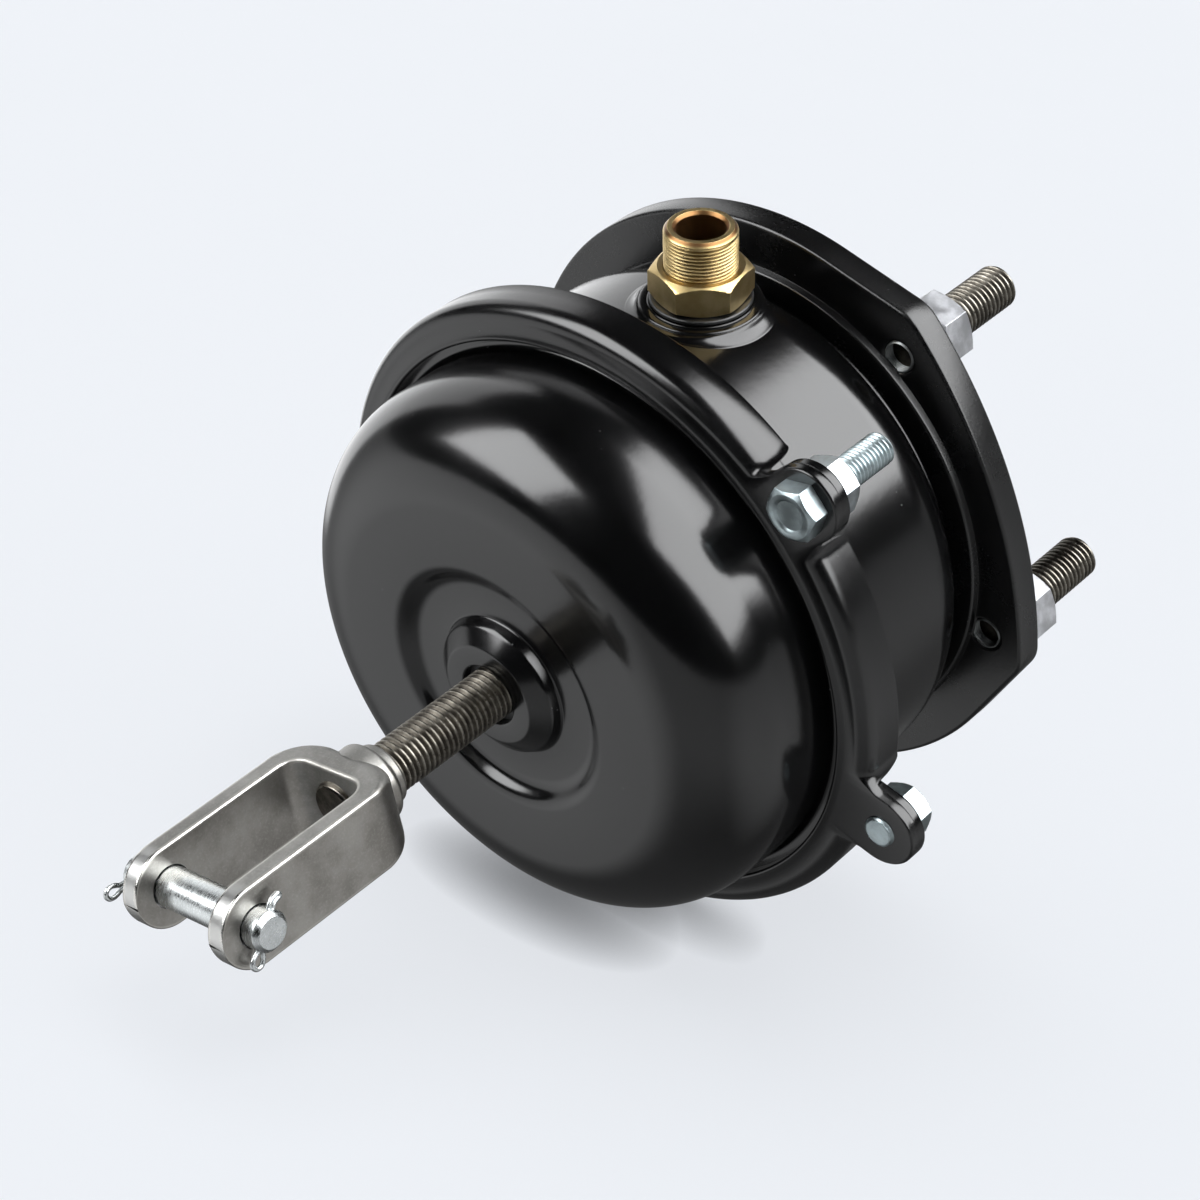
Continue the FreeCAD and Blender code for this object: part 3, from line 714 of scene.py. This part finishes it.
def lug_outline(angle, inset=0.0):
    """A lug's outline in x and z: a round end about its bolt, on a straight neck."""
    points = [(rim_radius - 4, inset - lug_radius)]
    points += arc((bolt_circle_radius, 0), lug_radius - inset, -90, 90, 32)
    points += [(rim_radius - 4, lug_radius - inset)]
    return swung(points, angle)


def shell_height(x, reach):
    """How high the rear housing's outside stands over the chamber's axis, at x and a reach."""
    radius = rear_radius
    if reach < pad_reach + rear_shoulder:
        drop = pad_reach + rear_shoulder - reach
        radius += math.sqrt(rear_shoulder**2 - drop * drop) - rear_shoulder
    return math.sqrt(radius**2 - x * x)


def make_port_collar():
    """The collar round the port: its weld's hollow foot follows the shell and runs up into a round neck."""
    collar = Shell()
    top = port_boss_top - 0.3
    foot = collar_radius + collar_weld
    profile = [(foot + 0.4, -0.25)] + arc((foot, collar_weld), collar_weld, 270, 180, 10)
    profile += [(collar_radius, 12)]
    rows = []
    lip = 0.7
    for radius, rise in profile:
        ring = circle((0, -port_reach), radius, 128)
        rows.append([(x, y, min(shell_height(x, -y) + rise, top - lip)) for x, y in ring])
    rim = arc((collar_radius - lip, top - lip), lip, 15, 90, 5)
    for radius, height in rim + [(port_boss_radius - 0.2, top)]:
        rows.append([(x, y, height) for x, y in circle((0, -port_reach), radius, 128)])
    collar.grid(rows)
    collar.piece("port_collar", "housing", [], BOSS_PAINT, 50)
    boss = Shell()
    place = Matrix.Translation((0, -port_reach, 0))
    corners = [(port_boss_radius, port_boss_top - 4, 0), (port_boss_radius, port_boss_top, 0.4)]
    boss.spin(rounded(corners + [(port_thread_radius, port_boss_top, 0)]), place, 128)
    boss.piece("port_boss_painted", "housing", ["port_boss"], BOSS_PAINT)
    seal = Shell()
    corners = [
        (port_thread_radius, port_boss_top, 0),
        (port_seal_radius, port_boss_top, 0.7),
        (port_seal_radius, port_seal_top, 0.7),
        (port_thread_radius, port_seal_top, 0),
    ]
    seal.spin(rounded(corners, 10), place, 96)
    seal.piece("port_seal_ring", "housing", ["port_seal"], SEAL_RUBBER)


def make_port_fitting():
    fitting = Shell()
    place = along(UP, Vector((0, -port_reach, port_seal_top)), port_hex_turn)
    height = port_hex_top - port_seal_top
    profile = nut_profile(port_hex_flats, height, port_thread_radius)
    fitting.spin(profile, place, 96, port_hex_flats)
    collar = 2.2
    length = port_top - port_hex_top - collar
    base = Vector((0, -port_reach, port_hex_top))
    fitting.thread(port_thread_radius, 0.7, 1.15, length + 0.8, along(UP, base - UP * 0.4), 64, kind="sleeve")
    top = port_top - port_hex_top
    corners = [
        (port_thread_radius - 0.9, top - collar - 0.3, 0),
        (port_thread_radius - 0.1, top - collar + 0.3, 0.2),
        (port_thread_radius - 0.1, top - 1.3, 0.3),
        (port_thread_radius - 1.2, top, 0.25),
        (port_bore_radius + 0.9, top, 0.25),
        (port_bore_radius, top - 1.0, 0.3),
        (port_bore_radius, -24, 0),
    ]
    fitting.spin(rounded(corners), along(UP, base), 96)
    fitting.piece("port_fitting_turned", "housing", ["port_fitting"], BRASS, 28)


def make_dome():
    dome = Shell()
    corners = [
        (flange_radius, seam_reach - 3, 0),
        (flange_radius, seam_reach - 0.05, 0.4),
        (front_radius, seam_reach - 0.05, 2.0),
        (front_radius, front_face, front_shoulder),
        (dish_radius + 2.0, front_face, 5.6),
        (dish_radius - 2.0, dish_floor, 5.6),
        (boss_base_radius, dish_floor, 0.9),
        (boss_base_radius - 1.2, dish_floor + 3.3, 2.6),
        (boss_top_radius - 0.5, boss_top, 1.6),
        (rod_hole_radius, boss_top, 0.7),
        (rod_hole_radius, boss_top - 7, 0),
    ]
    dome.spin(rounded(corners, 14), CHAMBER, 320)
    dome.piece("front_housing_painted", "housing", ["front_housing"], DOME_PAINT, 40)


def ring_columns():
    """Angles round the clamp ring with the outer radius and how far the skirt runs there."""
    gap_half = lug_radius + skirt_gap
    columns = []
    lug_half = math.degrees(math.asin((lug_radius + lug_root_round + 3) / clamp_radius))
    for half_degrees in range(720):
        angle = half_degrees * 0.5
        near = min(abs((angle - lug + 180) % 360 - 180) for lug in lug_angles)
        if near > lug_half + 0.2:
            columns.append((angle % 360, clamp_radius, clamp_depth, 0.0))
    for lug in lug_angles:
        for side, radius, half in lug_edge_points():
            share = 1.0 - min(max((half - lug_radius) / 3.2, 0.0), 1.0)
            share = share * share * (3 - 2 * share)
            run = min(max((half - gap_half + 1.4) / 2.2, 0.0), 1.0)
            depth = clamp_sheet + (clamp_depth - clamp_sheet) * math.sqrt(1 - (1 - run) ** 2)
            columns.append(((lug + side) % 360, radius, depth, share))
    columns.sort()
    return columns


def lug_edge_points():
    """The outline round one lug: angle from its middle, radius, and distance from its middle line."""
    points = []
    reach_out = math.sqrt((clamp_radius + lug_root_round) ** 2 - (lug_radius + lug_root_round) ** 2)
    centre = (reach_out, lug_radius + lug_root_round)
    touch = math.degrees(math.atan2(centre[1], centre[0]))
    half_outline = []
    half_outline += arc((bolt_circle_radius, 0), lug_radius, 0, 90, 24)
    half_outline += arc(centre, lug_root_round, 270, 180 + touch, 24)[1:]
    last = math.degrees(math.atan2(half_outline[-1][1], half_outline[-1][0]))
    half_outline += [polar(clamp_radius, last + 0.25 * step) for step in range(1, 12)]
    for x, y in half_outline:
        angle = math.degrees(math.atan2(y, x))
        radius = math.hypot(x, y)
        points.append((angle, radius, y))
        if y > 0.001:
            points.append((-angle, radius, y))
    return points


def make_clamp_ring():
    """The pressed ring as one closed surface: at each angle a section with lip, shoulder and skirt."""
    sheet = clamp_sheet
    inside = seam_reach + 0.03
    rows = []
    for angle, outer, depth, flat in ring_columns():
        shoulder = clamp_shoulder * (1 - flat) + 0.9 * flat
        end = clamp_front - depth
        edge = 0.8 - 0.72 * flat
        section = [(clamp_inner_radius, inside), (clamp_inner_radius, clamp_front + 0.3)]
        section += arc((clamp_inner_radius + 0.8, clamp_front + 0.2), 0.8, 180, 45, 6)
        section += [(clamp_inner_radius + 2.8, clamp_front)]
        section += arc((outer - shoulder, clamp_front - shoulder), shoulder, 90, 0, 10)
        low = min(end + edge, clamp_front - shoulder - 0.01)
        section += [(outer, (low + clamp_front - shoulder) / 2), (outer, low)]
        section += arc((outer - edge, low), edge, 0, -90, 4)
        section += arc((outer - sheet + edge, low), edge, -90, -180, 4)
        inner_round = max(0.05, min(shoulder - 1.5, seam_reach - low - 0.05))
        bend_at = max(inside - inner_round, low)
        section += [(outer - sheet, low + (bend_at - low) * 0.5)]
        if bend_at > low + 0.01:
            section += arc((outer - sheet - inner_round, inside - inner_round), inner_round, 0, 90, 5)
        else:
            section += [(outer - sheet, low + edge * step / 5) for step in range(6)]
        section += [(clamp_inner_radius + 2.0, inside)]
        rows.append([(*polar(radius, angle), height) for radius, height in section])
    rows.append(rows[0])
    ring = Shell()
    ring.grid(rows, CHAMBER)
    ring.piece("clamp_ring_painted", "housing", ["clamp_ring"], RING_PAINT, 50)


def make_clamp_bolts():
    bolts = Shell()
    nuts = Shell()
    washer = Shell()
    rear_face = seam_reach - clamp_sheet
    for angle, reverse in zip(lug_angles, reversed_bolts):
        axis = FORWARD if reverse else -FORWARD
        under_head = rear_face - washer_thickness if reverse else clamp_front
        length = reversed_bolt_length if reverse else bolt_length
        base = at(bolt_circle_radius, under_head, angle)
        turn = -20 if reverse else 12
        head = head_profile(bolt_head_flats, bolt_head_height)
        bolts.spin(head, along(-axis, base, turn), 96, bolt_head_flats)
        bolts.thread(bolt_radius, 0.7, 1.5, length, along(axis, base), 40)
        if reverse:
            corners = [(5.2, 0, 0), (washer_radius, 0, 0.3), (washer_radius, washer_thickness, 0.3)]
            corners += [(5.2, washer_thickness, 0)]
            washer.spin(rounded(corners), along(axis, base), 64)
        else:
            start = at(bolt_circle_radius, rear_face - bolt_nut_height, angle)
            profile = nut_profile(bolt_nut_flats, bolt_nut_height, bolt_radius)
            nuts.spin(profile, along(FORWARD, start, 20), 96, bolt_nut_flats)
    bolts.piece("clamp_bolts_plated", "housing", ["clamp_bolts"], BOLT_ZINC, 28)
    nuts.piece("clamp_nuts_plated", "housing", ["clamp_nuts"], NUT_ZINC, 28)
    washer.piece("clamp_bolt_washer_plain", "housing", ["clamp_bolt_washer"], WASHER_STEEL, 28)


def make_rod():
    rod = Shell()
    rod.thread(rod_radius, 1.05, 2.0, rod_end - rod_start, along(FORWARD, at(0, rod_start)), 56)
    rod.piece("push_rod_threaded", "rod", ["push_rod"], ROD_STEEL, 40)


def clevis_stations():
    """Stations along the fork's strip: inner and outer edge as x and reach, with depth and rounding."""
    half = clevis_width / 2
    half_gap = clevis_gap / 2
    eye = clevis_depth / 2
    bend = (half - clevis_corner, clevis_bridge_reach + clevis_corner)
    gap_bend = (half_gap - clevis_gap_corner, clevis_gap_reach + clevis_gap_corner)
    stations = []
    for step in range(21):
        turn = math.radians(88.5 - 88.5 * step / 20)
        reach = pin_reach + eye * math.sin(turn)
        stations.append(((half_gap, reach), (half, reach), eye * math.cos(turn), clevis_edge))
    straight_end = clevis_bridge_reach + clevis_corner
    for step in range(1, 12):
        reach = pin_reach - (pin_reach - straight_end - 3) * step / 11
        stations.append(((half_gap, reach), (half, reach), eye, clevis_edge))
    for step in range(0, 17):
        outer = polar(clevis_corner, -90 * step / 16, bend)
        inner = polar(clevis_gap_corner, -90 * step / 16, gap_bend)
        stations.append((inner, outer, eye, clevis_edge + clevis_back_edge * step / 16))
    for step in range(1, 5):
        share = 1 - step / 4
        inner = ((half_gap - clevis_gap_corner) * share, clevis_gap_reach)
        outer = ((half - clevis_corner) * share, clevis_bridge_reach)
        stations.append((inner, outer, eye, clevis_edge + clevis_back_edge))
    mirrored = [((-i[0], i[1]), (-o[0], o[1]), depth, size) for i, o, depth, size in stations[:-1]]
    return stations + mirrored[::-1]


def clevis_section(inner, outer, depth, outer_round, steps=6):
    """A rounded section between an inner and an outer edge point, as deep as depth each way."""
    across = Vector((outer[0] - inner[0], outer[1] - inner[1]))
    thickness = across.length
    across.normalize()
    middle = Vector(((outer[0] + inner[0]) / 2, (outer[1] + inner[1]) / 2))
    points = []
    rubs = []
    inner_round = clevis_edge
    corners = [(1, 1, outer_round), (-1, 1, inner_round), (-1, -1, inner_round), (1, -1, outer_round)]
    for quarter, (side, high, size) in enumerate(corners):
        start = 90 * quarter
        size = min(size, depth * 0.9, thickness * 0.62)
        for step in range(-1, steps + 2):
            turn = math.radians(start + 90 * min(max(step, 0), steps) / steps)
            past = -0.5 if step < 0 else 0.5 if step > steps else 0.0
            over = side * (thickness / 2 - size) + size * math.cos(turn) - past * math.sin(turn)
            up = high * max(depth - size, 0.0) + size * math.sin(turn) + past * math.cos(turn)
            spot = middle + across * over
            points.append((spot.x, -spot.y, up))
            rubs.append(1.0 if past == 0.0 and size < 1.5 else 0.0)
    return points, rubs


def make_clevis():
    fork = Shell()
    sections = [clevis_section(*station) for station in clevis_stations()]
    rubs = [mark for points, marks in sections for mark in marks]
    fork.grid([points for points, marks in sections], ROLL, capped=(True, True), rubs=rubs)
    drill = Shell().spin(
        [(pin_radius + 0.4, -40), (pin_radius + 0.4, 40)],
        ROLL @ along((1, 0, 0), Vector((0, -pin_reach, 0))),
        64,
        capped=(True, True),
    )
    body = bpy.data.objects.new("fork_blank", fork.mesh("fork"))
    tool = bpy.data.objects.new("fork_drill", drill.mesh("drill"))
    for thing in (body, tool):
        bpy.context.scene.collection.objects.link(thing)
        outward(thing.data)
    cut = body.modifiers.new("pin_holes", "BOOLEAN")
    cut.operation = "DIFFERENCE"
    cut.solver = "EXACT"
    cut.object = tool
    drilled = bpy.data.meshes.new_from_object(body.evaluated_get(bpy.context.evaluated_depsgraph_get()))
    bpy.data.objects.remove(body)
    bpy.data.objects.remove(tool)
    place_piece("clevis_forged", drilled, "rod", ["clevis"], FORGED, 40)
    neck = Shell()
    corners = [
        (7.4, clevis_neck_reach + 0.6, 0),
        (8.4, clevis_neck_reach, 0.3),
        (clevis_neck_radius, clevis_neck_reach, 1.1),
        (clevis_neck_radius, clevis_neck_reach + 3.2, 1.2),
        (clevis_shoulder_radius, clevis_neck_reach + 4.6, 1.6),
        (clevis_shoulder_radius - 0.2, clevis_bridge_reach + 4, 0),
    ]
    neck.spin(rounded(corners), CHAMBER, 96)
    neck.piece("clevis_neck", "rod", [], FORGED, 50)


def outward(mesh):
    """Turns all faces of a closed mesh outward."""
    import bmesh

    work = bmesh.new()
    work.from_mesh(mesh)
    bmesh.ops.recalc_face_normals(work, faces=work.faces)
    work.to_mesh(mesh)
    work.free()


def make_pin():
    pin = Shell()
    half = pin_length / 2
    corners = [
        (0.02, -half, 0),
        (pin_radius - 1.4, -half, 0.3),
        (pin_radius, -half + 1.4, 0.5),
        (pin_radius, half - 1.4, 0.5),
        (pin_radius - 1.4, half, 0.3),
        (0.02, half, 0),
    ]
    pin.spin(rounded(corners), ROLL @ along((1, 0, 0), Vector((pin_shift, -pin_reach, 0))), 72)
    pin.piece("clevis_pin_turned", "pin", ["clevis_pin"], PIN_STEEL, 36)


def wire_loop(name, path, radius, node):
    """A round wire along a closed path of points in mm."""
    curve = bpy.data.curves.new(name, "CURVE")
    curve.dimensions = "3D"
    curve.bevel_depth = radius * MM
    curve.bevel_resolution = 4
    spline = curve.splines.new("POLY")
    spline.points.add(len(path) - 1)
    for point, spot in zip(spline.points, path):
        point.co = (*(spot * MM), 1)
    spline.use_cyclic_u = True
    place_piece(name, mesh_of_curve(name, curve), "pin", [node], COTTER_STEEL, 60)


def make_cotter_pins():
    """Each is a closed wire: a narrow eye below the pin, two legs through it and a bent end above."""
    for side, node, tilt, stand_out in zip((1, -1), ("near", "far"), cotter_tilts, cotter_stand_outs):
        turn = math.radians(tilt)
        lift = Vector((0, math.sin(turn), math.cos(turn)))
        side_way = Vector((0, math.cos(turn), -math.sin(turn)))
        across = pin_shift + side * (pin_length / 2 - cotter_inset)
        middle = Vector((across, -pin_reach, 0)) - lift * stand_out
        outline = arc((0, -9.2), 1.75, 180, 360, 16)
        outline += [(1.75, -8.4), (1.45, -7.4), (0.85, -6.2), (0.74, 6.4)]
        outline += [(0.95, 7.6), (1.7, 8.6)] + arc((1.45, 9.2), 0.75, -30, 120, 8)
        outline += [(0.2, 9.0), (-0.5, 8.0), (-0.74, 6.4), (-0.85, -6.2), (-1.45, -7.4), (-1.75, -8.4)]
        path = [ROLL @ (middle + side_way * x + lift * y) for x, y in outline]
        wire_loop("cotter_wire_" + node, path, 0.75, "cotter_pin_" + node)


def finish_inner_pieces():
    """The hidden pieces keep their CAD shape and get their finishes."""
    for node, material in (
        ("diaphragm", DIAPHRAGM_RUBBER),
        ("push_plate", INNER_STEEL),
        ("push_plate_nut", INNER_STEEL),
        ("rod_guide", GUIDE_NYLON),
    ):
        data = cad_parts[node].data
        data.materials.clear()
        data.materials.append(material)


def make_return_spring():
    """The coil keeps its CAD shape, in a mesh of its own on the housing."""
    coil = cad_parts["return_spring"]
    mesh = coil.data.copy()
    mesh.materials.clear()
    mesh.transform(coil.matrix_world)
    spring = place_piece("return_spring_coil", mesh, "housing", ["return_spring"], SPRING_STEEL)
    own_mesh(spring)


def make_camera():
    """The photograph's camera, as fitted to its round pieces."""
    camera = bpy.data.objects.new("camera", bpy.data.cameras.new("camera"))
    bpy.context.scene.collection.objects.link(camera)
    right = Vector((0.751848, 0.658816, -0.026215))
    up = Vector((-0.396838, 0.483912, 0.779967))
    back = Vector((0.52654, -0.576014, 0.625271))
    turn = Matrix((right, up, back)).transposed().to_4x4()
    camera.matrix_world = Matrix.Translation((0.44414, -0.574178, 0.532199)) @ turn
    camera.data.sensor_width = 36
    camera.data.lens = 84.29
    camera.data.clip_start = 0.05
    camera.data.clip_end = 60
    bpy.context.scene.camera = camera


floor_tilt = 20.3
floor_drop = 0.1245


def make_floor():
    """A pale floor, tilted so that the chamber leans nose-down on it and the extended clevis stays clear."""
    mesh = bpy.data.meshes.new("floor")
    size = 14.0
    corners = [(-size, -size, 0), (size, -size, 0), (size, size, 0), (-size, size, 0)]
    mesh.from_pydata(corners, [], [(0, 1, 2, 3)])
    floor = bpy.data.objects.new("floor", mesh)
    bpy.context.scene.collection.objects.link(floor)
    tilt = math.radians(floor_tilt)
    contact = Vector((0, -0.090, -floor_drop + 0.0205))
    floor.matrix_world = Matrix.Translation(contact) @ Matrix.Rotation(-tilt, 4, "X")
    finish = Finish("floor_paper", Roughness=0.75)
    paper = finish.noise(3.0, 3, 0.5)
    finish.colour(finish.mix(finish.span(paper, 0.3, 0.7), (0.82, 0.843, 0.884), (0.84, 0.863, 0.904)))
    # Painted contact shadow: camera rays see mostly an even pale glow, darkened by ambient occlusion close to
    # the object.
    near = finish.node("ShaderNodeAmbientOcclusion", {"samples": 16}, {"Distance": 0.02}, output="AO")
    pale = finish.mix(near, (0.02, 0.021, 0.023), (0.863, 0.888, 0.930))
    glow = finish.node("ShaderNodeEmission", values={"Color": pale, "Strength": 1.0})
    seen = finish.node("ShaderNodeLightPath", output="Is Camera Ray") * 0.78
    paper_shader = Value(finish, finish.shader.outputs[0])
    lit = finish.node("ShaderNodeMixShader", values={0: seen, 1: paper_shader, 2: glow})
    clear = finish.node("ShaderNodeBsdfTransparent")
    behind = finish.node("ShaderNodeNewGeometry", output="Backfacing")
    either = finish.node("ShaderNodeMixShader", values={0: behind, 1: lit, 2: clear})
    finish.tree.links.new(either.socket, finish.tree.nodes["Material Output"].inputs["Surface"])
    mesh.materials.append(finish.material)
    floor.visible_glossy = False


class Studio(Wiring):
    """The world: a pale background, an even light, and the soft boxes that bright surfaces mirror."""

    def __init__(self):
        self.world = bpy.data.worlds.new("studio")
        self.world.use_nodes = True
        self.world.cycles.sampling_method = "NONE"
        self.world.node_tree.nodes.clear()
        super().__init__(self.world.node_tree, "Generated")

    def toward(self, azimuth, elevation):
        """A direction: its azimuth turns from the push rod's end towards +X."""
        turn = math.radians(azimuth)
        rise = math.radians(elevation)
        return Vector((math.sin(turn) * math.cos(rise), -math.cos(turn) * math.cos(rise), math.sin(rise)))

    def soft_box(self, azimuth, elevation, half_width, half_height):
        """1 inside a rectangle that far off, 0 outside, with soft edges."""
        middle = self.toward(azimuth, elevation)
        side = self.toward(azimuth + 90, 0)
        ahead = self.along(middle)
        across = abs(self.along(side)) / ahead
        over = abs(self.along(middle.cross(side))) / ahead
        inside = self.span(across, half_width * 1.1, half_width * 0.9)
        inside = inside * self.span(over, half_height * 1.1, half_height * 0.9)
        return inside * (ahead > 0.05)

    def glow(self, azimuth, elevation, spread):
        """A round soft patch, 1 in its middle."""
        return self.span(self.along(self.toward(azimuth, elevation)), math.cos(math.radians(spread)), 1.0)

    def mirrored(self):
        """What bright surfaces show: the lit floor below, a dark room above it, and the soft boxes."""
        height = self.along((0, 0, 1))
        table = self.span(self.along(self.toward(0, -12)), -0.3, 0.8, 0.3, 0.62)
        table = table * self.span(height, -0.9, -0.45, 0.28, 1.0)
        table = table + self.glow(-40, -12, 48) * 0.75 + self.glow(100, -25, 45) * 0.5
        below = self.span(height, 0.01, -0.01)
        lit = below * table + (1 - below) * 0.012
        lit = lit + self.soft_box(-42.5, 40.5, 0.36, 0.374) * 9
        lit = lit + self.soft_box(120, 44, 0.73, 0.53) * 8.5
        return lit + self.soft_box(-115, 0, 0.36, 0.62) * 1.5

    def background(self, tint, strength):
        node = self.tree.nodes.new("ShaderNodeBackground")
        node.inputs["Color"].default_value = tint + (1,)
        if isinstance(strength, Value):
            self.tree.links.new(strength.socket, node.inputs["Strength"])
        else:
            node.inputs["Strength"].default_value = strength
        return Value(self, node.outputs[0])

    def either(self, ray, first, second):
        """The first for all rays but one kind, the second for that kind."""
        share = self.node("ShaderNodeLightPath", output=ray)
        return self.node("ShaderNodeMixShader", values={0: share, 1: first, 2: second})


def make_light():
    """The world's light and a broad sun overhead, which gives the floor part of its shadow; the rest is a
    painted shadow in the floor's glow.
    """
    studio = Studio()
    even = studio.background((0.94, 0.97, 1.0), 0.6)
    shiny = studio.background((0.98, 0.99, 1.0), studio.mirrored())
    pale = studio.background((0.863, 0.888, 0.930), 1.0)
    seen = studio.either("Is Camera Ray", studio.either("Is Glossy Ray", even, shiny), pale)
    studio.node("ShaderNodeOutputWorld", values={"Surface": seen}, output=None)
    bpy.context.scene.world = studio.world
    sun = bpy.data.lights.new("ceiling", "SUN")
    sun.energy = 1.37
    sun.angle = math.radians(60)
    lamp = bpy.data.objects.new("ceiling", sun)
    bpy.context.scene.collection.objects.link(lamp)
    lamp.visible_glossy = False
    lamp.rotation_mode = "QUATERNION"
    lamp.rotation_quaternion = Vector((-0.15, 0.30, 0.94)).to_track_quat("Z", "Y")


make_plate()
make_studs()
make_rear_housing()
make_port_fitting()
make_dome()
make_clamp_ring()
make_clamp_bolts()
make_rod()
make_clevis()
make_pin()
make_cotter_pins()
finish_inner_pieces()
make_return_spring()
make_camera()
make_floor()
make_light()
bpy.context.scene.view_settings.view_transform = "Standard"
